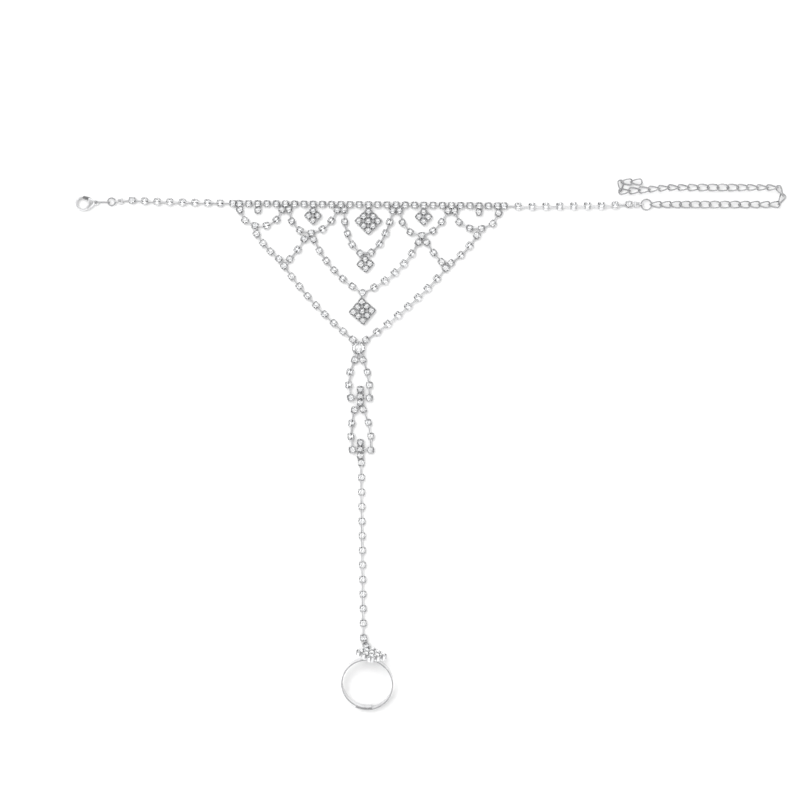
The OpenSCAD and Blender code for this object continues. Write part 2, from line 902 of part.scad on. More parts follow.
laid() clasp_body();
laid() clasp_lever();
laid() clasp_link();
laid() clasp_ring();
laid() left_connector();
laid() left_chain();
laid() left_corner();
laid() row_left();
laid() row_right();
laid() right_corner();
laid() right_chain();
laid() right_connector();
laid() extender_ring();
laid() extender_lower();
laid() extender_upper();
laid() drop_left();
laid() drop_right();
laid() junction_outer_left();
laid() junction_outer_right();
laid() diamond_left();
laid() diamond_right();
laid() junction_inner_left();
laid() junction_inner_right();
laid() diamond_centre();
laid() scallop_outer_left();
laid() scallop_outer_right();
laid() scallop_inner_left();
laid() scallop_inner_right();
laid() scallop_centre();
laid() diamond_upper();
laid() side_left();
laid() side_right();
laid() cross_left();
laid() cross_right();
laid() side_joint_left();
laid() side_joint_right();
laid() middle_left();
laid() middle_right();
laid() diamond_lower();
laid() edge_left();
laid() edge_right();
laid() large_stone();
laid() loop_upper_left();
laid() loop_upper_right();
laid() flower_upper();
laid() loop_lower_left();
laid() loop_lower_right();
laid() flower_lower();
laid() toe_strand();
laid() toe_ring();
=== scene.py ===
"""Looks of a barefoot sandal jewel: clear stones in silver cups, a toe ring, a clasp, an extender.

Sizes are in millimetres in the layout's own frame, which is the part's. Each piece is moved to the
frame's place and to metres when it is finished.
"""

import logging
import math
from dataclasses import dataclass, field
from enum import Enum
from typing import Callable, ClassVar, Iterable, Optional, Sequence

import bmesh
import bpy
from mathutils import Matrix, Vector


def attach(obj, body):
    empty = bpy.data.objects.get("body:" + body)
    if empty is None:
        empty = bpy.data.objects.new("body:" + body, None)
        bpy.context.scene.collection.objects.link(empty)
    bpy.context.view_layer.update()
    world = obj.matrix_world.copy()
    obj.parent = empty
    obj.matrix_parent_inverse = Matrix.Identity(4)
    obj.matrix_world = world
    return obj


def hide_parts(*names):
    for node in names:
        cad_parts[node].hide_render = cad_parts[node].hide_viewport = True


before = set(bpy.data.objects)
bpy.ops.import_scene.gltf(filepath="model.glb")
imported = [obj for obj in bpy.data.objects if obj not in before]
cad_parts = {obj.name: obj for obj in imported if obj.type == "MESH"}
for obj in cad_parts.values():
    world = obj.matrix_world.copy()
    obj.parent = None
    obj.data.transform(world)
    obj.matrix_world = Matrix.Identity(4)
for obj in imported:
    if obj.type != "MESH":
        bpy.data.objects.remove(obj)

LOG = logging.getLogger("sandal")
MM = 0.001
# The layout is drawn from the middle stone of the ankle row, and the frame from the box's middle
LAYOUT_SHIFT = Vector((-22.63, 87.53, 0.0))
JEWEL_BODY = "jewel"
LEVER_BODY = "lever"
UP, DOWN = Vector((0, 0, 1)), Vector((0, 0, -1))
# A face looks a way when its normal is this near to it, as a cosine
SQUARE_ON = 0.9
# Points this near to a plane are on it, and points this near to each other are one
NEAR = 1e-3
WELD = 1e-4
# Edges sharper than this, in degrees, stay sharp on spun wire and on drawn-out rings
WIRE_CREASE = 50.0
DRAWN_CREASE = 80.0

Colour = tuple[float, float, float]


class Slot(Enum):
    """The record's material slots."""

    SILVER = "silver"
    CRYSTAL = "crystal"


# Workbench: how a piece is started, picked at and finished


def deselect() -> None:
    """Leaves edit mode and deselects every object."""
    if bpy.context.mode != "OBJECT":
        bpy.ops.object.mode_set(mode="OBJECT")
    bpy.ops.object.select_all(action="DESELECT")


def select_only(piece: bpy.types.Object) -> None:
    """Leaves edit mode, selects one piece alone and makes it the active one.

    Args:
        piece: The piece.
    """
    deselect()
    piece.select_set(True)
    bpy.context.view_layer.objects.active = piece


def edit(piece: bpy.types.Object, select_mode: str = "FACE") -> None:
    """Enters edit mode on one piece with nothing selected.

    Args:
        piece: The mesh object to edit.
        select_mode: VERT, EDGE or FACE.
    """
    select_only(piece)
    bpy.ops.object.mode_set(mode="EDIT")
    bpy.ops.mesh.select_mode(type=select_mode)
    bpy.ops.mesh.select_all(action="DESELECT")


def edit_all(piece: bpy.types.Object, select_mode: str = "FACE") -> None:
    """Enters edit mode on one piece with all of it selected."""
    edit(piece, select_mode)
    bpy.ops.mesh.select_all(action="SELECT")


def pick(piece: bpy.types.Object, test: Callable[[object], bool], kind: str = "FACE") -> int:
    """Selects the parts of an edited mesh that pass a test.

    Args:
        piece: The object in edit mode.
        test: Says of a vertex, edge or face whether it is wanted.
        kind: VERT, EDGE or FACE.

    Returns:
        How many were picked.
    """
    bpy.ops.mesh.select_mode(type=kind)
    bpy.ops.mesh.select_all(action="DESELECT")
    mesh = bmesh.from_edit_mesh(piece.data)
    parts = {"VERT": mesh.verts, "EDGE": mesh.edges, "FACE": mesh.faces}[kind]
    chosen = [part for part in parts if test(part)]
    for part in chosen:
        part.select_set(True)
    mesh.select_flush_mode()
    bmesh.update_edit_mesh(piece.data)
    return len(chosen)


def facing(way: Sequence[float]) -> Callable[[bmesh.types.BMFace], bool]:
    """A test for the faces that look a way."""
    return lambda face: face.normal.dot(Vector(way)) > SQUARE_ON


def picked_middle(piece: bpy.types.Object) -> Vector:
    """The middle of the points that are selected on an edited mesh."""
    picked = [vert.co for vert in bmesh.from_edit_mesh(piece.data).verts if vert.select]
    return sum(picked, Vector()) / len(picked)


def named(piece: bpy.types.Object, name: str) -> bpy.types.Object:
    """Names a piece and its mesh alike, and returns it."""
    piece.name = piece.data.name = name
    return piece


def started(name: str, add: Callable[..., object], **sizes: object) -> bpy.types.Object:
    """Adds a primitive to start a piece from, its place and turn in its mesh.

    Args:
        name: Name of the piece.
        add: The operator that adds the primitive.
        sizes: What the operator is told.

    Returns:
        The piece, alone selected.
    """
    deselect()
    add(**sizes)
    bpy.ops.object.transform_apply(location=True, rotation=True, scale=True)
    return named(bpy.context.active_object, name)


def smooth(piece: bpy.types.Object, crease: float) -> None:
    """Shades a piece smooth, except over edges sharper than a crease's angle in degrees."""
    select_only(piece)
    bpy.ops.object.shade_smooth_by_angle(angle=math.radians(crease))


def outward(piece: bpy.types.Object) -> None:
    """Merges doubled points and turns every face outwards.

    Args:
        piece: The mesh object.
    """
    edit_all(piece)
    bpy.ops.mesh.remove_doubles(threshold=WELD)
    bpy.ops.mesh.normals_make_consistent(inside=False)
    if bmesh.from_edit_mesh(piece.data).calc_volume(signed=True) < 0:
        bpy.ops.mesh.flip_normals()
    deselect()


def apply_modifiers(piece: bpy.types.Object) -> None:
    """Applies all modifiers of a piece in their order.

    Args:
        piece: The piece.
    """
    select_only(piece)
    for modifier in list(piece.modifiers):
        bpy.ops.object.modifier_apply(modifier=modifier.name)


def placed_copy(piece: bpy.types.Object, matrix: Matrix) -> bpy.types.Object:
    """Copies a modelled piece, with its own mesh, to a place.

    Args:
        piece: The piece modelled once, at the origin.
        matrix: Where the copy goes.

    Returns:
        The copy, its place in its mesh.
    """
    copy = piece.copy()
    copy.data = piece.data.copy()
    copy.data.transform(matrix)
    bpy.context.scene.collection.objects.link(copy)
    return copy


def joined(pieces: Sequence[bpy.types.Object], name: str) -> bpy.types.Object:
    """Joins pieces to one.

    Args:
        pieces: The pieces.
        name: Name of the joined piece.

    Returns:
        The joined piece.
    """
    deselect()
    for piece in pieces:
        piece.select_set(True)
    bpy.context.view_layer.objects.active = pieces[0]
    if len(pieces) > 1:
        bpy.ops.object.join()
    return named(pieces[0], name)


def turn(degrees: float, axis: str) -> Matrix:
    """A rotation about one axis, in degrees."""
    return Matrix.Rotation(math.radians(degrees), 4, axis)


def shift(point: Iterable[float]) -> Matrix:
    """A move to a point."""
    return Matrix.Translation(Vector(point))


def aimed(start: Vector, end: Vector, up: Vector) -> Matrix:
    """The frame at start with Z towards end, and X square to both Z and up.

    Args:
        start: Where the frame stands.
        end: The point that its Z axis looks at.
        up: The way that its Y axis leans to.

    Returns:
        The frame as a matrix.
    """
    way = (end - start).normalized()
    side = up.cross(way).normalized()
    lift = way.cross(side)
    rows = Matrix((side, lift, way)).transposed().to_4x4()
    return shift(start) @ rows


# Finishes


@dataclass
class Workings:
    """The nodes of one material in the making, all on Object coordinates."""

    name: str
    material: bpy.types.Material = field(init=False)
    shader: bpy.types.Node = field(init=False)
    place: bpy.types.Node = field(init=False)

    noise_middle: ClassVar[tuple[float, float]] = (0.3, 0.7)
    mark_height: ClassVar[float] = 0.02 * MM
    mark_detail: ClassVar[float] = 2.0

    def __post_init__(self) -> None:
        """Starts the material with its surface shader."""
        self.material = bpy.data.materials.new(self.name)
        self.material.use_nodes = True
        self.shader = self.material.node_tree.nodes["Principled BSDF"]
        self.place = self.node("ShaderNodeTexCoord")

    def node(self, kind: str, **values: float) -> bpy.types.Node:
        """Adds a node with constants on its sockets.

        Args:
            kind: The node's type.
            values: The constants, by their sockets' names with _ for each space.

        Returns:
            The node.
        """
        node = self.material.node_tree.nodes.new(kind)
        for socket, value in values.items():
            node.inputs[socket.replace("_", " ")].default_value = value
        return node

    def link(self, value: bpy.types.NodeSocket, node: bpy.types.Node, socket: str) -> None:
        """Links an output to a named socket of a node."""
        self.material.node_tree.links.new(value, node.inputs[socket])

    def noise(self, scale: float, detail: float) -> bpy.types.NodeSocket:
        """Adds a noise.

        Args:
            scale: How fine the noise is, for each metre.
            detail: How many finer layers it has.

        Returns:
            The output of the noise.
        """
        texture = self.node("ShaderNodeTexNoise", Scale=scale, Detail=detail)
        self.link(self.place.outputs["Object"], texture, "Vector")
        return texture.outputs["Fac"]

    def blend(
        self, value: bpy.types.NodeSocket, ends_at: Sequence[float], tones: Sequence[Colour]
    ) -> None:
        """Gives the shader two tones, blended between two values of a noise.

        Args:
            value: The output of the noise.
            ends_at: The two values.
            tones: The tone at each of them.
        """
        node = self.node("ShaderNodeValToRGB")
        for end, position, tone in zip(node.color_ramp.elements, ends_at, tones):
            end.position, end.color = position, (*tone, 1.0)
        self.link(value, node, "Fac")
        self.link(node.outputs["Color"], self.shader, "Base Color")

    def roughen(self, value: bpy.types.NodeSocket, low: float, high: float) -> None:
        """Lets the shader's roughness follow a noise.

        Args:
            value: The output of the noise.
            low: The lowest roughness.
            high: The highest roughness.
        """
        least, most = self.noise_middle
        node = self.node(
            "ShaderNodeMapRange", From_Min=least, From_Max=most, To_Min=low, To_Max=high
        )
        self.link(value, node, "Value")
        self.link(node.outputs["Result"], self.shader, "Roughness")

    def mark(self, scale: float, strength: float) -> None:
        """Adds fine polishing marks to the shader's normal.

        Args:
            scale: How fine the marks are, for each metre.
            strength: How strong they are.
        """
        node = self.node("ShaderNodeBump", Strength=strength, Distance=self.mark_height)
        self.link(self.noise(scale, self.mark_detail), node, "Height")
        self.link(node.outputs["Normal"], self.shader, "Normal")


@dataclass(frozen=True)
class Finish:
    """A finish in two tones, the second in soft patches on the first."""

    name: str
    tones: tuple[Colour, Colour]
    patch_scale: float
    patch_detail: float
    patch_ends: tuple[float, float]

    def make(self) -> bpy.types.Material:
        """Builds the material from Object coordinates.

        Returns:
            The material.
        """
        workings = Workings(self.name)
        patches = workings.noise(self.patch_scale, self.patch_detail)
        workings.blend(patches, self.patch_ends, self.tones)
        for socket, value in self.constants().items():
            workings.shader.inputs[socket].default_value = value
        self.work_surface(workings, patches)
        return workings.material

    def constants(self) -> dict[str, float]:
        """The shader's constants, by the names of their sockets."""
        return {}

    def work_surface(self, workings: Workings, patches: bpy.types.NodeSocket) -> None:
        """Adds what the surface has besides its tones, which here is nothing."""


@dataclass(frozen=True)
class PolishedSilver(Finish):
    """Silver plate, bright, with faint polishing marks and a little grey in places."""

    name: str = "polished_silver"
    tones: tuple[Colour, Colour] = ((0.84, 0.84, 0.848), (0.68, 0.685, 0.695))
    patch_scale: float = 420.0
    patch_detail: float = 3.0
    patch_ends: tuple[float, float] = (0.35, 0.7)
    roughness: tuple[float, float] = (0.09, 0.24)
    mark_scale: float = 2600.0
    mark_strength: float = 0.08

    def constants(self) -> dict[str, float]:
        """The shader's constants, by the names of their sockets."""
        return {"Metallic": 1.0}

    def work_surface(self, workings: Workings, patches: bpy.types.NodeSocket) -> None:
        """Roughens the patches and adds the polishing marks."""
        workings.roughen(patches, *self.roughness)
        workings.mark(self.mark_scale, self.mark_strength)


@dataclass(frozen=True)
class ChainSilver(PolishedSilver):
    """The extender's and the rings' plate, darker than the cups': partly a duller metal, partly
    painted shade among the links.
    """

    name: str = "chain_silver"
    tones: tuple[Colour, Colour] = ((0.46, 0.46, 0.467), (0.33, 0.333, 0.341))
    roughness: tuple[float, float] = (0.12, 0.3)
    patch_scale: float = 520.0


@dataclass(frozen=True)
class ShadedProngSilver(PolishedSilver):
    """The prongs' plate, greyer than the cups' as painted shade and painted dark reflection at the
    prongs.
    """

    name: str = "shaded_prong_silver"
    tones: tuple[Colour, Colour] = ((0.56, 0.56, 0.567), (0.34, 0.343, 0.351))
    roughness: tuple[float, float] = (0.14, 0.32)
    patch_scale: float = 700.0


@dataclass(frozen=True)
class BarSilver(PolishedSilver):
    """The bars' plate, its tone between the cups' and the extender's as painted shade on the bars
    that lie low between the cups.
    """

    name: str = "bar_silver"
    tones: tuple[Colour, Colour] = ((0.68, 0.68, 0.687), (0.5, 0.503, 0.511))


@dataclass(frozen=True)
class BandSilver(PolishedSilver):
    """The toe ring's band, worn a little along its length."""

    name: str = "band_silver"
    tones: tuple[Colour, Colour] = ((0.8, 0.8, 0.808), (0.64, 0.643, 0.652))
    patch_scale: float = 260.0


@dataclass(frozen=True)
class ShadedLeverSilver(PolishedSilver):
    """The clasp's lever, the same silver coloured dark as painted shade for the dark lines about
    it.
    """

    name: str = "shaded_lever_silver"
    tones: tuple[Colour, Colour] = ((0.3, 0.3, 0.306), (0.22, 0.221, 0.227))
    roughness: tuple[float, float] = (0.16, 0.34)


@dataclass(frozen=True)
class ClearCrystal(Finish):
    """Clear cut crystal over foil, a shade cooler in places."""

    name: str = "clear_crystal"
    tones: tuple[Colour, Colour] = ((1.0, 1.0, 1.0), (0.96, 0.968, 0.98))
    patch_scale: float = 300.0
    patch_detail: float = 1.0
    patch_ends: tuple[float, float] = (0.4, 0.65)
    ior: float = 1.55
    roughness: float = 0.0

    def constants(self) -> dict[str, float]:
        """The shader's constants, by the names of their sockets."""
        return {"Roughness": self.roughness, "IOR": self.ior, "Transmission Weight": 1.0}


@dataclass(frozen=True)
class StoneFoil(Finish):
    """The mirror foil behind a stone, seen through its crown."""

    name: str = "stone_foil"
    tones: tuple[Colour, Colour] = ((1.0, 1.0, 1.0), (0.93, 0.935, 0.94))
    patch_scale: float = 900.0
    patch_detail: float = 1.0
    patch_ends: tuple[float, float] = (0.42, 0.62)
    roughness: float = 0.04

    def constants(self) -> dict[str, float]:
        """The shader's constants, by the names of their sockets."""
        return {"Metallic": 1.0, "Roughness": self.roughness}


@dataclass(frozen=True)
class WhitePaper(Finish):
    """The pale surface under the jewel."""

    name: str = "white_paper"
    tones: tuple[Colour, Colour] = ((0.76, 0.76, 0.76), (0.745, 0.745, 0.747))
    patch_scale: float = 60.0
    patch_detail: float = 4.0
    patch_ends: tuple[float, float] = (0.4, 0.7)
    roughness: float = 0.75
    gloss: float = 0.2

    def constants(self) -> dict[str, float]:
        """The shader's constants, by the names of their sockets."""
        return {"Roughness": self.roughness, "Specular IOR Level": self.gloss}


@dataclass
class Finishes:
    """The materials that the pieces share, each made once."""

    silver: bpy.types.Material = field(default_factory=PolishedSilver().make)
    chain: bpy.types.Material = field(default_factory=ChainSilver().make)
    prong: bpy.types.Material = field(default_factory=ShadedProngSilver().make)
    bar: bpy.types.Material = field(default_factory=BarSilver().make)
    band: bpy.types.Material = field(default_factory=BandSilver().make)
    lever: bpy.types.Material = field(default_factory=ShadedLeverSilver().make)
    crystal: bpy.types.Material = field(default_factory=ClearCrystal().make)
    foil: bpy.types.Material = field(default_factory=StoneFoil().make)


# Layout: the strands and their cups


@dataclass(frozen=True)
class Cup:
    """Where one cup lies: its middle, its heading and its roll, in degrees."""

    x: float
    y: float
    heading: float = 0.0
    roll: float = 0.0

    radius: float = 1.27
    girdle: float = 1.7
    hub_height: float = 0.66

    def matrix(self) -> Matrix:
        """The cup's own frame in the layout.

        Returns:
            The frame, with the cup's base on its XY plane.
        """
        return (
            shift((self.x, self.y, self.lift()))
            @ turn(self.heading, "Z")
            @ turn(-self.roll, "X")
            @ shift((0.0, 0.0, -self.girdle))
        )

    def lift(self) -> float:
        """Height of the girdle with the base's edge on the surface."""
        lean = math.radians(self.roll)
        return self.radius * math.sin(abs(lean)) + self.girdle * math.cos(lean)

    def up(self) -> Vector:
        """The way that the stone faces.

        Returns:
            The way, one long.
        """
        way, lean = math.radians(self.heading), math.radians(self.roll)
        return Vector(
            (-math.sin(way) * math.sin(lean), math.cos(way) * math.sin(lean), math.cos(lean))
        )

    def hub(self) -> Vector:
        """Middle of the room inside the cup, where bars end."""
        return Vector((self.x, self.y, self.lift())) + self.up() * (self.hub_height - self.girdle)

    def at(self) -> tuple[float, float]:
        """The cup's place."""
        return self.x, self.y

    def turned(self, heading: float) -> "Cup":
        """The same cup laid flat, at a new heading."""
        return Cup(self.x, self.y, heading)


def heading(start: Sequence[float], end: Sequence[float]) -> float:
    """Heading from one place to another, in degrees."""
    return math.degrees(math.atan2(end[1] - start[1], end[0] - start[0]))


@dataclass(frozen=True)
class Strand:
    """A hanging line of cups.

    Attributes:
        start: Where its line starts.
        end: Where its line ends.
        sag: How far it sags to the right of its chord.
        power: Shapes the sag, 1 round and 2 hanging.
        lean: How far the sag leans along the chord.
        count: How many cups it has.
        roll_start: Roll of its cups near the start.
        roll_end: Roll of its cups near the end.
        flat: Cups inside it that lie flat.
    """

    start: tuple[float, float]
    end: tuple[float, float]
    sag: float
    power: float
    lean: float
    count: int
    roll_start: float
    roll_end: float
    flat: tuple[int, ...] = ()

    steps: int = 60
    ease_in: float = 1.5
    nearly: float = 1e-9

    def line_at(self, share: float) -> Vector:
        """The place on the line at a share of its way.

        Args:
            share: 0 at the start of the line and 1 at its end.

        Returns:
            The place.
        """
        start, end = Vector(self.start), Vector(self.end)
        span = end - start
        along = span.normalized()
        right = Vector((along.y, -along.x))
        phase = math.pi * share
        belly = max(math.sin(phase), 0.0) ** self.power
        return (
            (start + end) / 2
            - span / 2 * math.cos(phase)
            + right * self.sag * belly
            + along * self.lean * math.sin(phase)
        )

    def points(self) -> list[Vector]:
        """Middles of the cups, evenly spaced along the line.

        Returns:
            The places, from the start of the line.
        """
        line = [self.line_at(k / self.steps) for k in range(self.steps + 1)]
        runs = [0.0]
        for before, after in zip(line, line[1:]):
            runs.append(runs[-1] + (after - before).length)
        found = []
        for i in range(self.count):
            wanted = runs[-1] * i / (self.count - 1)
            k = max(j for j in range(self.steps) if runs[j] <= wanted + self.nearly)
            share = (wanted - runs[k]) / (runs[k + 1] - runs[k])
            found.append(self.line_at((k + share) / self.steps))
        return found

    def cups(self) -> list[Cup]:
        """The strand's cups; both end cups lie flat.

        Returns:
            The cups, from the start of the line.
        """
        points, last = self.points(), self.count - 1
        made = []
        for i, point in enumerate(points):
            way = heading(points[max(i - 1, 0)], points[min(i + 1, last)])
            ease = min(1.0, i / self.ease_in, (last - i) / self.ease_in)
            roll = self.roll_start + (self.roll_end - self.roll_start) * i / last
            level = i in self.flat
            made.append(Cup(point.x, point.y, way, 0.0 if level else ease * roll))
        return made


# Columns: start, end, sag, power, lean, count, roll near the start, roll near the end, flat cups
STRANDS = {
    "row": Strand((-47.1, 0.4), (47.1, -0.5), 0, 2, 0, 29, 0, 0),
    "left": Strand((-86.3, 1.5), (-49.6, 0.42), 0, 2, 0, 9, 25, 10),
    "right": Strand((49.6, -0.52), (95.1, 0), 0, 2, 0, 10, 35, 35),
    "outer_l": Strand((-47, -2.08), (-31.53, -1.92), 6, 1.25, -0.3, 6, 5, 15, (2,)),
    "outer_r": Strand((47.55, -3.3), (31.53, -2.5), -6.1, 1, 0.3, 6, -6, 0, (2,)),
    "inner_l": Strand((-29.03, -1.92), (-11.35, -2.1), 8.5, 1.4, -1.2, 7, 5, 20, (3,)),
    "inner_r": Strand((29.03, -2.5), (11.35, -2.3), -9, 1.5, 1.2, 7, -12, 0, (3,)),
    "centre": Strand((-8.85, -2.1), (8.85, -2.3), 16.1, 1.45, -1.2, 10, 5, 25, (4, 5)),
    "side_l": Strand((-40.9, -10.8), (-32.7, -19.9), 0.5, 2, 0, 4, 8, 8),
    "side_r": Strand((39.6, -11.4), (30.2, -21.4), -0.4, 2, 0, 4, -30, -30),
    "cross_l": Strand((-23.5, -12.7), (-28.7, -19.9), -0.2, 2, 0, 3, -20, -20),
    "cross_r": Strand((21.3, -13.9), (26.7, -21), 0.3, 2, 0, 3, 8, 8),
    "middle_l": Strand((-20, -12.9), (-2.2, -32.3), 2, 2, 0, 7, 8, 8),
    "middle_r": Strand((18.2, -13.9), (-2.2, -32.3), -2.1, 2, 0, 7, -30, -30),
    "edge_l": Strand((-30.8, -22.6), (-5.8, -49.3), 1.2, 2, 0, 9, 8, 8),
    "edge_r": Strand((28.2, -23.4), (-0.9, -49.4), -0.8, 2, 0, 9, -32, -32),
    "upper_l": Strand((-5.1, -56.8), (-6.6, -70.6), 1.5, 2, 0, 4, -25, -25),
    "upper_r": Strand((-1.95, -56.8), (0.4, -70.7), -0.9, 2, 0, 4, 8, 8),
    "lower_l": Strand((-5.2, -75.1), (-6, -89.6), 0.9, 2, 0, 4, -20, -20),
    "lower_r": Strand((-1.9, -74.9), (0.9, -89.7), -1.1, 2, 0, 4, 8, 8),
    "toe": Strand((-2.65, -94.4), (-1.8, -158.2), 0, 2, 0, 13, 6, 6),
}
SOLDER_PITCH = 2.5


# Pieces that are modelled once and copied


@dataclass
class CupSetting:
    """One round cup with a scalloped rim and four prongs bent over the stone."""

    radius: float = 1.3
    height: float = 1.7
    base_radius: float = 1.12
    rim_width: float = 0.1
    rim_slope: float = 0.05
    hollow: float = 1.3
    hollow_taper: float = 0.8
    scallop: float = 0.42
    scallop_half: float = 15.0
    sides: int = 16
    reach: float = 1.5
    prong_width: float = 0.48
    prong_depth: float = 0.26
    prong_foot: float = 0.4
    prong_bend: float = 0.16
    prong_top: float = 0.16
    prong_over: float = 0.2
    tip_drop: float = 0.02
    tip_taper: float = 0.9
    step_turn: float = 42.0
    crease: float = 20.0

    # Columns: how far a step of the bend goes in, how far up
    bend_steps: ClassVar[tuple[tuple[float, float], ...]] = ((0.35, 1.0), (0.8, 0.55))

    def build(self, name: str, finishes: Finishes) -> bpy.types.Object:
        """Models the cup and its prongs.

        Args:
            name: Name of the piece.
            finishes: The materials to put on it.

        Returns:
            The finished cup at the origin, its base on the XY plane.
        """
        cup = started(
            name,
            bpy.ops.mesh.primitive_cylinder_add,
            vertices=self.sides,
            radius=self.radius,
            depth=self.height,
            location=(0, 0, self.height / 2),
            rotation=(0, 0, math.pi / self.sides),
        )
        self.shape_wall(cup)
        cup.data.materials.append(finishes.silver)
        prong = self.prong(f"{name}_prong")
        # The prongs take the greyer copy of the silver: painted shade and dark reflection
        prong.data.materials.append(finishes.prong)
        prongs = [placed_copy(prong, turn(45.0 + 90.0 * quarter, "Z")) for quarter in range(4)]
        bpy.data.objects.remove(prong)
        cup = joined([cup, *prongs], name)
        outward(cup)
        smooth(cup, self.crease)
        return cup

    def shape_wall(self, cup: bpy.types.Object) -> None:
        """Narrows the foot, hollows the cup for the stone and scallops its rim.

        Args:
            cup: The cylinder that the cup starts from.
        """
        edit(cup)
        pick(cup, facing(DOWN))
        foot = self.base_radius / self.radius
        bpy.ops.transform.resize(value=(foot, foot, 1.0))
        pick(cup, facing(UP))
        bpy.ops.mesh.inset(thickness=self.rim_width, depth=0.0)
        bpy.ops.transform.translate(value=(0, 0, -self.rim_slope))
        bpy.ops.mesh.extrude_region_move(TRANSFORM_OT_translate={"value": (0, 0, -self.hollow)})
        bpy.ops.transform.resize(value=(self.hollow_taper, self.hollow_taper, 1.0))
        near = math.cos(math.radians(self.scallop_half))
        for quarter in range(4):
            angle = math.pi / 2 * quarter
            way = Vector((math.cos(angle), math.sin(angle)))
            pick(
                cup,
                lambda vert: vert.co.z > self.height - NEAR
                and vert.co.xy.normalized().dot(way) > near,
                "VERT",
            )
            bpy.ops.transform.translate(value=(0, 0, -self.scallop))
        deselect()

    def prong(self, name: str) -> bpy.types.Object:
        """Models one prong towards +X: up the wall, then bent flat over the stone's edge.

        Args:
            name: Name of the piece.

        Returns:
            The prong, open at its foot.
        """
        straight = self.height - self.prong_foot - self.prong_bend
        prong = started(
            name,
            bpy.ops.mesh.primitive_cube_add,
            size=1.0,
            location=(self.reach - self.prong_depth / 2, 0, self.prong_foot + straight / 2),
            scale=(self.prong_depth, self.prong_width, straight),
        )
        edit(prong)
        pick(prong, facing(DOWN))
        bpy.ops.mesh.delete(type="FACE")
        pick(prong, facing(UP))
        rise = (self.prong_bend + self.prong_top) / sum(up for _, up in self.bend_steps)
        for step_in, step_up in self.bend_steps:
            step = (-step_in * self.prong_bend, 0, step_up * rise)
            bpy.ops.mesh.extrude_region_move(TRANSFORM_OT_translate={"value": step})
            bpy.ops.transform.rotate(
                value=math.radians(self.step_turn),
                orient_axis="Y",
                center_override=picked_middle(prong),
            )
        tip = (-self.prong_over, 0, -self.tip_drop)
        bpy.ops.mesh.extrude_region_move(TRANSFORM_OT_translate={"value": tip})
        bpy.ops.transform.resize(value=(1.0, self.tip_taper, self.tip_taper))
        deselect()
        return prong


@dataclass
class CutStone:
    """A brilliant-cut stone: table, crown and girdle facets over a foiled cone."""

    radius: float = 1.23
    table_radius: float = 0.66
    crown: float = 0.52
    pavilion: float = 0.7
    bulge: float = 0.09
    sides: int = 8

    def build(self, name: str, finishes: Finishes) -> bpy.types.Object:
        """Models the stone.

        Args:
            name: Name of the piece.
            finishes: The materials to put on it.

        Returns:
            The finished stone at the origin, its girdle on the XY plane.
        """
        stone = started(
            name,
            bpy.ops.mesh.primitive_cone_add,
            vertices=self.sides,
            radius1=self.radius,
            radius2=self.table_radius,
            depth=self.crown,
            location=(0, 0, self.crown / 2),
        )
        edit(stone)
        pick(stone, lambda face: abs(face.normal.z) < SQUARE_ON)
        bpy.ops.mesh.poke(offset=self.bulge)
        pick(stone, lambda line: all(end.co.z < NEAR for end in line.verts), "EDGE")
        bpy.ops.mesh.subdivide(number_cuts=1)
        flat_radius = self.radius * math.cos(math.pi / self.sides)
        pick(
            stone,
            lambda vert: vert.co.z < NEAR and vert.co.to_2d().length < flat_radius + NEAR,
            "VERT",
        )
        grow = self.radius / flat_radius
        bpy.ops.transform.resize(value=(grow, grow, 1.0))
        bpy.ops.transform.translate(value=(0, 0, self.pavilion * (grow - 1)))
        pick(stone, facing(DOWN))
        bpy.ops.mesh.poke(offset=self.pavilion)
        deselect()
        outward(stone)
        stone.data.materials.append(finishes.crystal)
        stone.data.materials.append(finishes.foil)
        for face in stone.data.polygons:
            face.material_index = 1 if face.normal.z < 0 else 0
            face.use_smooth = False
        return stone


@dataclass
class ChainBar:
    """The flat bar from cup to cup, one millimetre long, narrower in the middle."""

    unit: ClassVar[float] = 1.0
    width: float = 0.86
    thickness: float = 0.4
    waist: float = 0.8
    sides: int = 8
    crease: float = 30.0

    def build(self, name: str) -> bpy.types.Object:
        """Models the bar along Z from the origin.

        Args:
            name: Name of the piece.

        Returns:
            The bar.
        """
        middle = self.unit / 2
        bar = started(
            name,
            bpy.ops.mesh.primitive_cylinder_add,
            vertices=self.sides,
            radius=self.unit / 2,
            depth=self.unit,
            location=(0, 0, middle),
            rotation=(0, 0, math.pi / self.sides),
        )
        edit_all(bar)
        bpy.ops.mesh.bisect(plane_co=(0, 0, middle), plane_no=(0, 0, 1))
        pick(bar, lambda vert: abs(vert.co.z - middle) < NEAR, "VERT")
        bpy.ops.transform.resize(value=(self.waist, self.waist, 1.0))
        bpy.ops.mesh.select_all(action="SELECT")
        bpy.ops.transform.resize(
            value=(self.width, self.thickness, 1.0), center_override=(0, 0, 0)
        )
        deselect()
        outward(bar)
        smooth(bar, self.crease)
        return bar


@dataclass
class SolderSeam:
    """A lump of solder between two cups, one millimetre each way, rounded."""

    size: float = 1.0
    edge_round: float = 0.2
    crease: float = 60.0

    def build(self, name: str) -> bpy.types.Object:
        """Models the lump about the origin.

        Args:
            name: Name of the piece.

        Returns:
            The lump.
        """
        seam = started(name, bpy.ops.mesh.primitive_cube_add, size=self.size)
        edit_all(seam)
        bpy.ops.mesh.bevel(offset=self.edge_round, segments=2, affect="EDGES")
        deselect()
        smooth(seam, self.crease)
        return seam


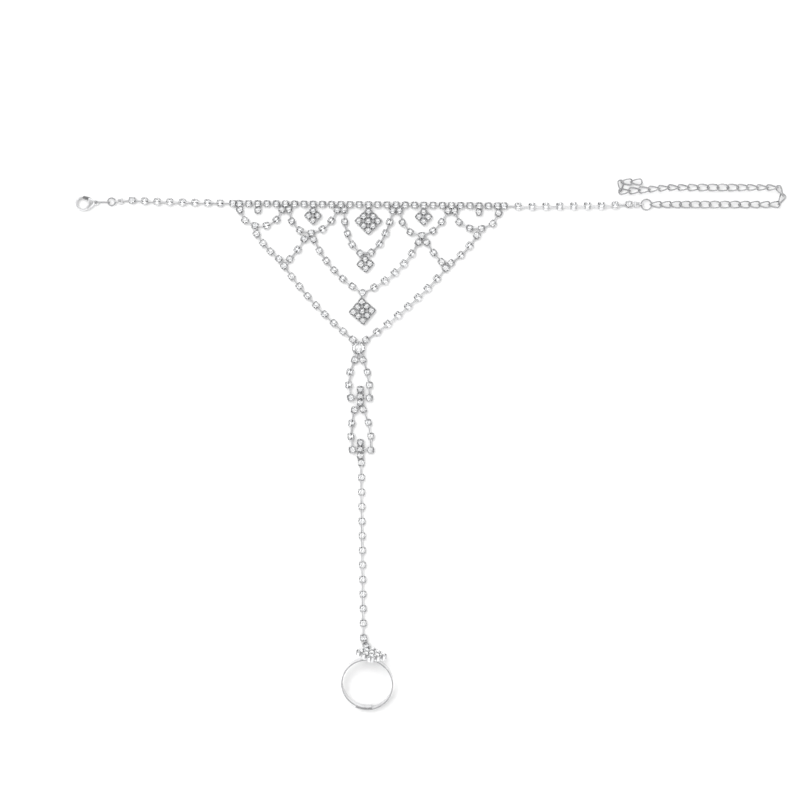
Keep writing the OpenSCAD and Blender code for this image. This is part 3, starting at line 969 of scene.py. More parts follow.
@dataclass
class TwistedLink:
    """One oval link of the extender, twisted by a quarter turn along its length."""

    half_length: float = 2.13
    half_width: float = 1.2
    wire: float = 0.25
    twist: float = 45.0
    sides: int = 20
    wire_sides: int = 8

    def build(self, name: str) -> bpy.types.Object:
        """Models the link along X about the origin.

        Args:
            name: Name of the piece.

        Returns:
            The link.
        """
        stretch = self.half_length - self.half_width
        link = drawn_ring(
            name, self.half_width, self.wire, stretch, (self.sides, self.wire_sides)
        )
        twisting = link.modifiers.new("twist", "SIMPLE_DEFORM")
        twisting.deform_method = "TWIST"
        twisting.deform_axis = "X"
        twisting.angle = math.radians(-2.0 * self.twist)
        apply_modifiers(link)
        outward(link)
        smooth(link, DRAWN_CREASE)
        return link


def drawn_ring(
    name: str, radius: float, wire: float, stretch: float, sides: tuple[int, int]
) -> bpy.types.Object:
    """Models a ring of round wire that is drawn out to an oval along X.

    Args:
        name: Name of the piece.
        radius: Radius of its rounded ends to the wire's middle.
        wire: Radius of the wire.
        stretch: How far each end is drawn out.
        sides: How many sides the ring has, and how many its wire.

    Returns:
        The oval about the origin, not yet shaded.
    """
    ring = started(
        name,
        bpy.ops.mesh.primitive_torus_add,
        major_segments=sides[0],
        minor_segments=sides[1],
        major_radius=radius,
        minor_radius=wire,
    )
    for side in (-1, 1):
        edit(ring, "VERT")
        pick(ring, lambda vert: side * vert.co.x > NEAR, "VERT")
        bpy.ops.transform.translate(value=(side * stretch, 0, 0))
    deselect()
    return ring


def wire_arc(
    name: str,
    radius: float,
    section: tuple[float, float],
    start: float,
    sweep: float,
    sides: tuple[int, int],
) -> bpy.types.Object:
    """Spins a round or oval section about Z to an arc of wire with closed ends.

    Args:
        name: Name of the piece.
        radius: Radius of the arc to the wire's middle.
        section: Half thickness of the wire across the arc and along its axis.
        start: Where the arc starts, in degrees.
        sweep: How far it runs, in degrees.
        sides: How many stretches the arc has, and how many sides its wire.

    Returns:
        The arc about the origin.
    """
    wire = started(
        name,
        bpy.ops.mesh.primitive_circle_add,
        vertices=sides[1],
        radius=1.0,
        fill_type="NGON",
        rotation=(math.pi / 2, 0, 0),
    )
    edit_all(wire)
    bpy.ops.transform.resize(value=(section[0], 1.0, section[1]), center_override=(0, 0, 0))
    bpy.ops.transform.translate(value=(radius, 0, 0))
    spin_section(wire, start, sweep, sides[0])
    smooth(wire, WIRE_CREASE)
    return wire


def spin_section(piece: bpy.types.Object, start: float, sweep: float, steps: int) -> None:
    """Spins a piece's selected section about Z, counterclockwise from above, and closes its ends.

    Args:
        piece: The piece in edit mode, its section on the XZ plane.
        start: Where the arc starts, in degrees.
        sweep: How far it runs, in degrees.
        steps: How many stretches it has.
    """
    bpy.ops.mesh.spin(
        steps=steps,
        angle=-math.radians(sweep),
        center=(0, 0, 0),
        axis=(0, 0, 1),
        use_auto_merge=False,
    )
    if pick(piece, lambda line: line.is_boundary, "EDGE"):
        bpy.ops.mesh.edge_face_add()
    deselect()
    piece.data.transform(turn(start, "Z"))
    outward(piece)


# Assemblies


@dataclass
class Shop:
    """The pieces that are modelled once, and the finishes."""

    finishes: Finishes = field(default_factory=Finishes)
    cup: bpy.types.Object = field(init=False)
    stone: bpy.types.Object = field(init=False)
    bar: bpy.types.Object = field(init=False)
    seam: bpy.types.Object = field(init=False)

    def __post_init__(self) -> None:
        """Models the shared pieces."""
        self.cup = CupSetting().build("shared_cup", self.finishes)
        self.stone = CutStone().build("shared_stone", self.finishes)
        self.bar = ChainBar().build("shared_bar")
        # The bars take a darker copy of the silver, painted shade between the cups
        self.bar.data.materials.append(self.finishes.bar)
        self.seam = SolderSeam().build("shared_seam")

    def clear_away(self) -> None:
        """Removes the shared pieces once they have been copied."""
        for piece in (self.cup, self.stone, self.bar, self.seam):
            bpy.data.objects.remove(piece)


@dataclass
class Part:
    """One node of the jewel in the making: its metal and its stones."""

    node: str
    shop: Shop
    metal: list[bpy.types.Object] = field(default_factory=list)
    stones: list[bpy.types.Object] = field(default_factory=list)
    plate: Optional[bpy.types.Material] = None
    setting: Optional[bpy.types.Object] = None

    bar_start: float = 0.95
    bar_end: float = 0.9
    seam_height: float = 0.6
    seam_overlap: float = 0.14
    seam_width: float = 0.9
    seam_depth: float = 0.55
    seam_least: float = 0.25
    bead: tuple[float, float, float] = (1.15, 1.15, 0.8)
    bead_height: float = 1.0

    def set_stone(self, matrix: Matrix) -> None:
        """Adds a cup with its stone.

        Args:
            matrix: The cup's own frame in the layout.
        """
        girdle = shift((0, 0, Cup.girdle))
        self.metal.append(placed_copy(self.setting or self.shop.cup, matrix))
        self.stones.append(placed_copy(self.shop.stone, matrix @ girdle))

    def link_to(self, start: Cup, end: Cup) -> None:
        """Adds the bar that leaves one cup for the next."""
        self.bar_between(start.hub(), end.hub(), start.up() + end.up())

    def bar_between(self, start: Vector, end: Vector, up: Vector) -> None:
        """Adds a bar between two hubs, inside both their cups at its ends.

        Args:
            start: The first hub.
            end: The second hub.
            up: The way that the bar's flat side faces.
        """
        length = (end - start).length - self.bar_start - self.bar_end
        matrix = aimed(start, end, up) @ shift((0, 0, self.bar_start))
        stretch = Matrix.Diagonal((1, 1, length, 1))
        self.metal.append(placed_copy(self.shop.bar, matrix @ stretch))

    def strand_cup(self, cups: Sequence[Cup], i: int) -> None:
        """Adds one cup of a strand, with its bar to the next cup.

        Args:
            cups: The strand's cups.
            i: The cup's number.
        """
        self.set_stone(cups[i].matrix())
        if i + 1 < len(cups):
            self.link_to(cups[i], cups[i + 1])

    def solder(self, a: Cup, b: Cup, radius: float = Cup.radius) -> None:
        """Adds solder between two cups that stand a little apart.

        Args:
            a: The first cup.
            b: The second cup, of the usual size.
            radius: Radius of the first cup.
        """
        start, end = (Vector((cup.x, cup.y, self.seam_height)) for cup in (a, b))
        overlap = self.seam_overlap
        length = (end - start).length - radius - Cup.radius + 2 * overlap
        middle = radius - overlap + length / 2
        sizes = (self.seam_width, self.seam_depth, max(length, self.seam_least), 1)
        matrix = aimed(start, end, UP) @ shift((0, 0, middle)) @ Matrix.Diagonal(sizes)
        self.metal.append(placed_copy(self.shop.seam, matrix))

    def diamond(self, at: Sequence[float], size: int, angle: float) -> None:
        """Adds a level square of cups on a corner, turned by an angle in degrees."""
        self.diamond_in(shift((at[0], at[1], 0)) @ turn(angle, "Z"), size)

    def diamond_in(self, matrix: Matrix, size: int) -> None:
        """Adds a square of cups on a corner, with beads of solder between them.

        Args:
            matrix: The square's own frame in the layout.
            size: Cups along each side.
        """
        half = (size - 1) / 2
        square = matrix @ turn(45, "Z")
        for i in range(size):
            for j in range(size):
                place = shift(((i - half) * SOLDER_PITCH, (j - half) * SOLDER_PITCH, 0))
                self.set_stone(square @ place)
        bead = Matrix.Diagonal((*self.bead, 1))
        for i in range(size - 1):
            for j in range(size - 1):
                near = (i + 0.5 - half) * SOLDER_PITCH, (j + 0.5 - half) * SOLDER_PITCH
                place = shift((*near, self.bead_height)) @ bead
                self.metal.append(placed_copy(self.shop.seam, square @ place))

    def finish(self) -> None:
        """Joins the metal and the stones, dresses them and gives them to the frame."""
        plate = self.plate or self.shop.finishes.silver
        for piece in self.metal:
            if not piece.data.materials:
                piece.data.materials.append(plate)
        dress(joined(self.metal, f"{self.node}_silver"), self.node)
        if self.stones:
            dress(joined(self.stones, f"{self.node}_stones"), self.node)


def dress(piece: bpy.types.Object, node: str, body: str = JEWEL_BODY) -> None:
    """Args:
        piece: The piece, in millimetres in the layout, its materials on it.
        node: The node that it replaces.
        body: The body that it rides on.
    """
    piece.data.transform(Matrix.Scale(MM, 4) @ Matrix.Translation(LAYOUT_SHIFT))
    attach(piece, body)
    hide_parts(node)
    LOG.info("%s: %d faces on %s", piece.name, len(piece.data.polygons), body)


@dataclass
class Jewel:
    """The stone-set chain work: ankle row, side chains, net, neck and toe strand."""

    shop: Shop
    rows: dict[str, list[Cup]] = field(
        default_factory=lambda: {name: strand.cups() for name, strand in STRANDS.items()}
    )

    # Each node's cup in the row
    drop_cups: ClassVar[dict[str, int]] = {"drop_left": 2, "drop_right": 26}
    # Columns: cup in the row, cups along each side
    diamond_cups: ClassVar[dict[str, tuple[int, int]]] = {
        "diamond_left": (8, 2),
        "diamond_right": (20, 2),
        "diamond_centre": (14, 3),
    }
    # Columns: cup in the row, the strands that meet it with the number of their cup
    junctions: ClassVar[dict[str, tuple[int, tuple[str, int], tuple[str, int]]]] = {
        "junction_outer_left": (5, ("outer_l", 5), ("inner_l", 0)),
        "junction_inner_left": (11, ("inner_l", 6), ("centre", 0)),
        "junction_inner_right": (17, ("centre", 9), ("inner_r", 6)),
        "junction_outer_right": (23, ("inner_r", 0), ("outer_r", 5)),
    }
    diamond_turn: float = 4.0
    upper_size: int = 2
    upper_off: tuple[float, float] = (-0.1, -4.1)
    lower_size: int = 3
    meeting_turn: float = 34.0
    lower_drop: float = 6.7
    large_at: tuple[float, float] = (-3.6, -52.4)
    flower_upper_at: tuple[float, float] = (-3.0, -70.0)
    flower_lower_at: tuple[float, float] = (-2.95, -89.4)
    # Columns: strand, the cups of it that the node has
    runs: ClassVar[dict[str, tuple[str, tuple[int, ...]]]] = {
        "row_left": ("row", (1, 3, 4, 6, 7, 9, 10, 12, 13)),
        "row_right": ("row", (15, 16, 18, 19, 21, 22, 24, 25, 27)),
        "left_chain": ("left", tuple(range(0, 8))),
        "right_chain": ("right", tuple(range(1, 10))),
        "scallop_centre": ("centre", (1, 2, 3, 6, 7, 8)),
        "side_left": ("side_l", (1, 2)),
        "side_right": ("side_r", (1, 2)),
        "cross_left": ("cross_l", (1,)),
        "cross_right": ("cross_r", (1,)),
        "middle_left": ("middle_l", (1, 2, 3, 4, 5)),
        "middle_right": ("middle_r", (1, 2, 3, 4, 5)),
        "edge_left": ("edge_l", tuple(range(1, 8))),
        "edge_right": ("edge_r", tuple(range(1, 8))),
        "loop_upper_left": ("upper_l", (1, 2)),
        "loop_upper_right": ("upper_r", (1, 2)),
        "loop_lower_left": ("lower_l", (1, 2)),
        "loop_lower_right": ("lower_r", (1, 2)),
    }

    def build(self) -> None:
        """Builds every stone-set node but the toe ring."""
        for node, (row, places) in self.runs.items():
            part = Part(node, self.shop)
            for i in places:
                part.strand_cup(self.rows[row], i)
            part.finish()
        self.build_row_clusters()
        self.build_corners()
        self.build_scallops()
        self.build_lower_diamonds()
        self.build_side_joints()
        self.build_neck()
        self.build_toe_strand()

    def under_row(self, i: int, down: float) -> tuple[float, float]:
        """The place that hangs square under a cup of the row.

        Args:
            i: The cup's number.
            down: How far under the cup.

        Returns:
            The place.
        """
        cup = self.rows["row"][i]
        slope = math.radians(self.rows["row"][0].heading)
        return cup.x + down * math.sin(slope), cup.y - down * math.cos(slope)

    def build_row_clusters(self) -> None:
        """Builds the row's drops, diamonds and junctions."""
        row = self.rows["row"]
        slope = row[0].heading
        for node, i in self.drop_cups.items():
            part = Part(node, self.shop)
            part.strand_cup(row, i)
            x, y = self.under_row(i, SOLDER_PITCH)
            part.set_stone(Cup(x, y, slope).matrix())
            part.finish()
        for node, (i, size) in self.diamond_cups.items():
            part = Part(node, self.shop)
            part.strand_cup(row, i)
            down = SOLDER_PITCH + diamond_reach(size)
            part.diamond(self.under_row(i, down), size, slope)
            part.finish()
        for node, (i, left, right) in self.junctions.items():
            part = Part(node, self.shop)
            part.strand_cup(row, i)
            ends = []
            for strand, k in (left, right):
                part.strand_cup(self.rows[strand], k)
                ends.append(self.rows[strand][k])
            part.solder(row[i], ends[0])
            part.solder(row[i], ends[1])
            part.solder(ends[0], ends[1])
            part.finish()

    def build_corners(self) -> None:
        """Builds the corners where a side chain, the row and an outer scallop meet."""
        # Columns: cup in the row, the side chain's name and cup, scallop
        corners = {
            "left_corner": (0, "left", 8, "outer_l"),
            "right_corner": (28, "right", 0, "outer_r"),
        }
        row = self.rows["row"]
        for node, (i, chain, k, scallop) in corners.items():
            part = Part(node, self.shop)
            part.strand_cup(row, i)
            part.strand_cup(self.rows[chain], k)
            part.strand_cup(self.rows[scallop], 0)
            part.solder(self.rows[chain][k], row[i])
            part.solder(row[i], self.rows[scallop][0])
            part.finish()

    def build_scallops(self) -> None:
        """Builds the outer and inner scallops with what is soldered to their lowest cups."""
        # Columns: strand, its cups, the lowest of them, the strands below it
        feet = {
            "scallop_outer_left": ("outer_l", (1, 2, 3, 4), 2, ("side_l",)),
            "scallop_outer_right": ("outer_r", (1, 2, 3, 4), 2, ("side_r",)),
            "scallop_inner_left": ("inner_l", (1, 2, 3, 4, 5), 3, ("cross_l", "middle_l")),
            "scallop_inner_right": ("inner_r", (1, 2, 3, 4, 5), 3, ("cross_r", "middle_r")),
        }
        for node, (scallop, places, lowest, below) in feet.items():
            part = Part(node, self.shop)
            for i in places:
                part.strand_cup(self.rows[scallop], i)
            for strand in below:
                part.strand_cup(self.rows[strand], 0)
                part.solder(self.rows[scallop][lowest], self.rows[strand][0])
            part.finish()

    def build_lower_diamonds(self) -> None:
        """Builds the small diamond under the middle scallop and the large one below it."""
        cups = self.rows["centre"]
        i, k = STRANDS["centre"].flat
        left = cups[i].turned(heading(cups[i - 1].at(), cups[i].at()))
        right = cups[k].turned(heading(cups[k].at(), cups[k + 1].at()))
        across, down = self.upper_off
        at = ((left.x + right.x) / 2 + across, (left.y + right.y) / 2 + down)
        part = Part("diamond_upper", self.shop)
        part.set_stone(left.matrix())
        part.set_stone(right.matrix())
        part.link_to(right, cups[k + 1])
        part.solder(left, right)
        part.diamond(at, self.upper_size, self.diamond_turn)
        top = self.diamond_top(at, self.upper_size)
        part.solder(left, top)
        part.solder(right, top)
        part.finish()
        meeting = self.rows["middle_l"][-1].turned(self.meeting_turn)
        at = (meeting.x, meeting.y - self.lower_drop)
        part = Part("diamond_lower", self.shop)
        part.set_stone(meeting.matrix())
        part.diamond(at, self.lower_size, self.diamond_turn)
        part.solder(meeting, self.diamond_top(at, self.lower_size))
        part.finish()

    def diamond_top(self, at: Sequence[float], size: int) -> Cup:
        """The top cup of a diamond that is turned about its own middle.

        Args:
            at: The diamond's middle.
            size: Cups along each side.

        Returns:
            The cup.
        """
        way = math.radians(self.diamond_turn)
        reach = diamond_reach(size)
        return Cup(at[0] - reach * math.sin(way), at[1] + reach * math.cos(way))

    def build_side_joints(self) -> None:
        """Builds the soldered cups where a side and a cross strand meet an edge."""
        for node, end in (("side_joint_left", "l"), ("side_joint_right", "r")):
            side, cross, edge = (self.rows[f"{name}_{end}"] for name in ("side", "cross", "edge"))
            part = Part(node, self.shop)
            part.strand_cup(side, len(side) - 1)
            part.strand_cup(cross, len(cross) - 1)
            part.strand_cup(edge, 0)
            part.solder(side[-1], edge[0])
            part.solder(cross[-1], edge[0])
            part.finish()

    def build_neck(self) -> None:
        """Builds the large stone and both flowers."""
        above = [self.rows[name][-1] for name in ("edge_l", "edge_r")]
        below = [self.rows[name] for name in ("upper_l", "upper_r")]
        part = Part("large_stone", self.shop)
        LargeStone(self.large_at).add_to(part)
        for cup in above:
            part.set_stone(cup.matrix())
        for strand in below:
            part.strand_cup(strand, 0)
        starts = [strand[0] for strand in below]
        for cup in (*above, *starts):
            part.solder(Cup(*self.large_at), cup, LargeStone.radius)
        part.solder(*starts)
        part.finish()
        # Columns: the middle cup's place, strands that come in, strands that go on
        flowers = {
            "flower_upper": (self.flower_upper_at, ("upper_l", "upper_r"), ("lower_l", "lower_r")),
            "flower_lower": (self.flower_lower_at, ("lower_l", "lower_r"), ("toe",)),
        }
        for node, (at, coming, going) in flowers.items():
            part = Part(node, self.shop)
            foot = self.add_flower(part, at, coming)
            for name in going:
                part.strand_cup(self.rows[name], 0)
                part.solder(foot, self.rows[name][0])
            part.finish()

    def add_flower(self, part: Part, at: Sequence[float], strands: Sequence[str]) -> Cup:
        """Adds three cups in a column with a strand's last cup at each side.

        Args:
            part: The node in the making.
            at: The middle cup's place.
            strands: The two strands that come in.

        Returns:
            The column's lowest cup.
        """
        for k in (-1, 0, 1):
            part.set_stone(Cup(at[0], at[1] + SOLDER_PITCH * k).matrix())
        for name in strands:
            part.strand_cup(self.rows[name], len(self.rows[name]) - 1)
            part.solder(Cup(*at), self.rows[name][-1])
        return Cup(at[0], at[1] - SOLDER_PITCH)

    def build_toe_strand(self) -> None:
        """Builds the single strand down to the toe ring."""
        cups = self.rows["toe"]
        part = Part("toe_strand", self.shop)
        for i in range(1, len(cups)):
            part.strand_cup(cups, i)
        part.link_to(cups[-1], ToeRing.end_cup)
        part.finish()


def diamond_reach(size: int) -> float:
    """Distance from a diamond's middle to the middle of its top cup."""
    return (size - 1) * SOLDER_PITCH / math.sqrt(2)


@dataclass
class LargeStone:
    """The neck's large round stone in its own four-prong setting."""

    at: tuple[float, float]

    radius: float = 2.45
    girdle: float = 2.1

    def add_to(self, part: Part) -> None:
        """Adds the setting and the stone to a node in the making.

        Args:
            part: The node.
        """
        setting = CupSetting(
            radius=self.radius,
            height=self.girdle,
            base_radius=2.2,
            rim_width=0.2,
            rim_slope=0.1,
            hollow=1.85,
            scallop=0.45,
            sides=24,
            reach=2.6,
            prong_width=0.62,
            prong_depth=0.36,
            prong_foot=0.7,
            prong_bend=0.24,
            prong_top=0.22,
            prong_over=0.38,
        ).build("large_setting", part.shop.finishes)
        stone = CutStone(
            radius=2.3, table_radius=1.25, crown=0.97, pavilion=1.23, bulge=0.15, sides=12
        ).build("large_brilliant", part.shop.finishes)
        place = shift((self.at[0], self.at[1], 0))
        setting.data.transform(place)
        stone.data.transform(place @ shift((0, 0, self.girdle)))
        part.metal.append(setting)
        part.stones.append(stone)


@dataclass
class ToeRing:
    """The open band whose ends pass each other, and the diamond of stones on its pad."""

    shop: Shop

    at: tuple[float, float] = (-0.5, -174.4)
    end_cup: Cup = Cup(-0.95, -161, -70, 0)
    band_r: float = 8.85
    band_t: float = 0.5
    band_h: float = 3.0
    lap_gap: float = 0.12
    arc_steps: int = 56
    pad_t: float = 0.3
    pad_r: float = 2.6
    pad_sink: float = 0.05
    pad_sides: int = 32
    head_size: int = 3
    head_scale: float = 1.15
    head_turn: float = 81.4
    head_reach: float = 1.35
    inner_lap: float = 199.0
    outer_lap: float = 197.5
    edge_round: float = 0.09
    edge_lean: float = 0.75
    crease: float = 40.0

    def __post_init__(self) -> None:
        """Works out how the ring leans and how high its middle stands."""
        self.head_x = self.band_r + self.band_t + self.pad_t
        self.head_step = diamond_reach(self.head_size) * self.head_scale
        far = self.band_r + self.band_t * 2 + self.lap_gap
        half = self.head_step + Cup.radius * self.head_scale
        self.tilt = math.atan((half - self.band_h / 2) / (self.head_x + far))
        self.lift = far * math.sin(self.tilt) + self.band_h / 2 * math.cos(self.tilt)

    def frame(self) -> Matrix:
        """The ring's own frame in the layout.

        Returns:
            The frame, the ring's axis along Z and its pad towards X.
        """
        return (
            shift((self.at[0], self.at[1], self.lift))
            @ turn(self.head_turn, "Z")
            @ Matrix.Rotation(-self.tilt, 4, "Y")
        )

    def build(self) -> None:
        """Builds the toe ring."""
        low_prongs = CupSetting(radius=Cup.radius, reach=self.head_reach)
        setting = low_prongs.build("head_cup", self.shop.finishes)
        part = Part("toe_ring", self.shop, setting=setting)
        frame_of_ring = self.frame()
        step = (self.band_t + self.lap_gap) / 2
        inner = self.band_arc("band_inner", self.band_r, 0.0, self.inner_lap)
        outer = self.band_arc("band_outer", self.band_r + step, -self.outer_lap, self.outer_lap)
        outer.data.transform(shift((-step, 0, 0)))
        for piece in (inner, outer, self.pad()):
            self.paint_edge_shade(piece)
            piece.data.transform(frame_of_ring)
            part.metal.append(piece)
        head = (
            frame_of_ring
            @ shift((self.head_x, 0, 0))
            @ turn(90, "Z")
            @ turn(90, "X")
            @ Matrix.Scale(self.head_scale, 4)
        )
        part.diamond_in(head, self.head_size)
        part.set_stone(self.end_cup.matrix())
        corner_x = self.head_x + Cup.hub_height * self.head_scale
        corner = frame_of_ring @ Vector((corner_x, 0, -self.head_step))
        part.bar_between(self.end_cup.hub(), corner, UP)
        part.finish()
        bpy.data.objects.remove(setting)

    def paint_edge_shade(self, piece: bpy.types.Object) -> None:
        """Plates a piece of the band bright, with painted shade on its cut edges.

        Args:
            piece: The piece in the ring's own frame.
        """
        piece.data.materials.append(self.shop.finishes.band)
        piece.data.materials.append(self.shop.finishes.chain)
        # Faces along the ring's axis take the darker chain plate as painted shade
        for face in piece.data.polygons:
            face.material_index = 1 if abs(face.normal.z) > self.edge_lean else 0

    def band_arc(self, name: str, radius: float, start: float, sweep: float) -> bpy.types.Object:
        """Spins the band's rounded section to an arc.

        Args:
            name: Name of the piece.
            radius: Inside radius.
            start: Where the arc starts, in degrees.
            sweep: How far it runs, in degrees.

        Returns:
            The arc about the ring's axis.
        """
        band = started(
            name, bpy.ops.mesh.primitive_plane_add, size=1.0, rotation=(math.pi / 2, 0, 0)
        )
        edit_all(band, "VERT")
        bpy.ops.transform.resize(value=(self.band_t, 1.0, self.band_h), center_override=(0, 0, 0))
        bpy.ops.mesh.bevel(offset=self.edge_round, segments=3, affect="VERTICES")
        bpy.ops.mesh.select_all(action="SELECT")
        bpy.ops.transform.translate(value=(radius + self.band_t / 2, 0, 0))
        spin_section(band, start, sweep, self.arc_steps)
        smooth(band, self.crease)
        return band

    def pad(self) -> bpy.types.Object:
        """Models the round pad between the band and the diamond.

        Returns:
            The pad in the ring's own frame.
        """
        depth = self.band_t / 2 + self.pad_t + self.pad_sink
        pad = started(
            "ring_pad",
            bpy.ops.mesh.primitive_cylinder_add,
            vertices=self.pad_sides,
            radius=self.pad_r,
            depth=depth,
            location=(self.band_r + self.band_t / 2 + depth / 2, 0, 0),
            rotation=(0, math.pi / 2, 0),
        )
        edit(pad)
        pick(pad, facing((1, 0, 0)))
        bpy.ops.mesh.bevel(offset=self.edge_round, segments=2, affect="EDGES")
        deselect()
        smooth(pad, self.crease)
        return pad


@dataclass
class EndCap:
    """A folded end piece with an upright loop, on the last cup of a side chain."""

    node: str
    middle: tuple[float, float, float]
    last_cup: Cup
    shop: Shop

    length: float = 1.8
    width: float = 2.2
    height: float = 1.2
    taper: tuple[float, float, float] = (1.0, 0.62, 0.8)
    fold: float = 0.36
    fold_depth: float = 0.12
    edge_round: float = 0.09
    crease: float = 40.0
    loop_r: float = 0.8
    loop_wire: float = 0.22
    loop_step: float = 1.6
    loop_sweep: float = 356.0
    loop_sides: tuple[int, int] = (28, 10)
    bar_start: float = 0.2

    def build(self) -> None:
        """Builds the end piece."""
        part = Part(self.node, self.shop, bar_start=self.bar_start)
        way = math.copysign(1.0, self.middle[0] - self.last_cup.x)
        part.metal.append(self.cap(way))
        wire = (self.loop_wire, self.loop_wire)
        loop = wire_arc(
            f"{self.node}_loop", self.loop_r, wire, 0.0, self.loop_sweep, self.loop_sides
        )
        middle = Vector(self.middle)
        loop.data.transform(
            shift(middle) @ shift((way * self.loop_step, 0, 0)) @ turn(90, "X")
        )
        part.metal.append(loop)
        part.bar_between(middle, self.last_cup.hub(), UP)
        part.finish()

    def cap(self, way: float) -> bpy.types.Object:
        """Models the folded strip, narrower towards the loop.

        Args:
            way: 1 where the loop is towards +X, and -1 where it is towards -X.

        Returns:
            The strip.
        """
        cap = started(
            f"{self.node}_cap",
            bpy.ops.mesh.primitive_cube_add,
            size=1.0,
            location=self.middle,
            scale=(self.length, self.width, self.height),
        )
        edit(cap)
        pick(cap, facing((way, 0, 0)))
        bpy.ops.transform.resize(value=self.taper)
        pick(cap, facing(UP))
        bpy.ops.mesh.inset(thickness=self.fold, depth=-self.fold_depth)
        bpy.ops.mesh.select_all(action="SELECT")
        bpy.ops.mesh.bevel(offset=self.edge_round, segments=2, affect="EDGES")
        deselect()
        smooth(cap, self.crease)
        return cap


@dataclass
class JumpRing:
    """A round wire ring that lies level, with the cut where it was closed."""

    node: str
    at: tuple[float, float, float]
    radius: float
    cut_at: float
    shop: Shop

    wire: float = 0.25
    cut: float = 3.0
    sides: tuple[int, int] = (40, 12)

    def build(self) -> None:
        """Builds the ring."""
        part = Part(self.node, self.shop, plate=self.shop.finishes.chain)
        wire, sweep = (self.wire, self.wire), 360.0 - self.cut
        ring = wire_arc(f"{self.node}_wire", self.radius, wire, self.cut_at, sweep, self.sides)
        ring.data.transform(shift(self.at))
        part.metal.append(ring)
        part.finish()


@dataclass
class Extender:
    """The twisted curb chain, doubled back at its free end."""

    shop: Shop

    start: tuple[float, float] = (102.8, -0.05)
    pitch: float = 3.6
    axis_z: float = 1.15
    twist: float = 45.0
    lower_count: int = 14
    # Columns: links, turn at each link, how flat the run's links lie
    runs: tuple[tuple[int, float, float], ...] = (
        (13, 0, 40),
        (2, 60, 0),
        (1, 60, 0),
        (10, 0, 45),
        (1, 5, 0),
        (4, 0, 20),
        (1, -95, 0),
        (1, -90, 0),
        (1, 0, 0),
    )

    def links(self) -> list[tuple[float, float]]:
        """How each link lies.

        Returns:
            Each link's heading and roll, in degrees, from the extender's ring.
        """
        made, way = [], 0.0
        for count, bend, flat in self.runs:
            for k in range(count):
                way += bend
                lay = math.sin(math.pi * (k + 0.5) / count) ** 2
                made.append((way, self.twist - flat * lay))
        return made

    def build(self) -> None:
        """Builds both stretches of the chain."""
        link = TwistedLink().build("shared_link")
        names = ("extender_lower", "extender_upper")
        # The chain plate's darkness is partly a duller metal, partly painted shade among the links
        parts = [Part(name, self.shop, plate=self.shop.finishes.chain) for name in names]
        tip = Vector((*self.start, 0.0))
        for k, (way, roll) in enumerate(self.links()):
            rolled = turn(roll, "X")
            lowest = min((rolled @ vert.co).z for vert in link.data.vertices)
            lift = max(self.axis_z, -lowest)
            matrix = (
                shift((tip.x, tip.y, lift))
                @ turn(way, "Z")
                @ shift((TwistedLink.half_length, 0, 0))
                @ rolled
            )
            parts[0 if k < self.lower_count else 1].metal.append(placed_copy(link, matrix))
            ahead = math.radians(way)
            tip += self.pitch * Vector((math.cos(ahead), math.sin(ahead), 0.0))
        for part in parts:
            part.finish()
        bpy.data.objects.remove(link)


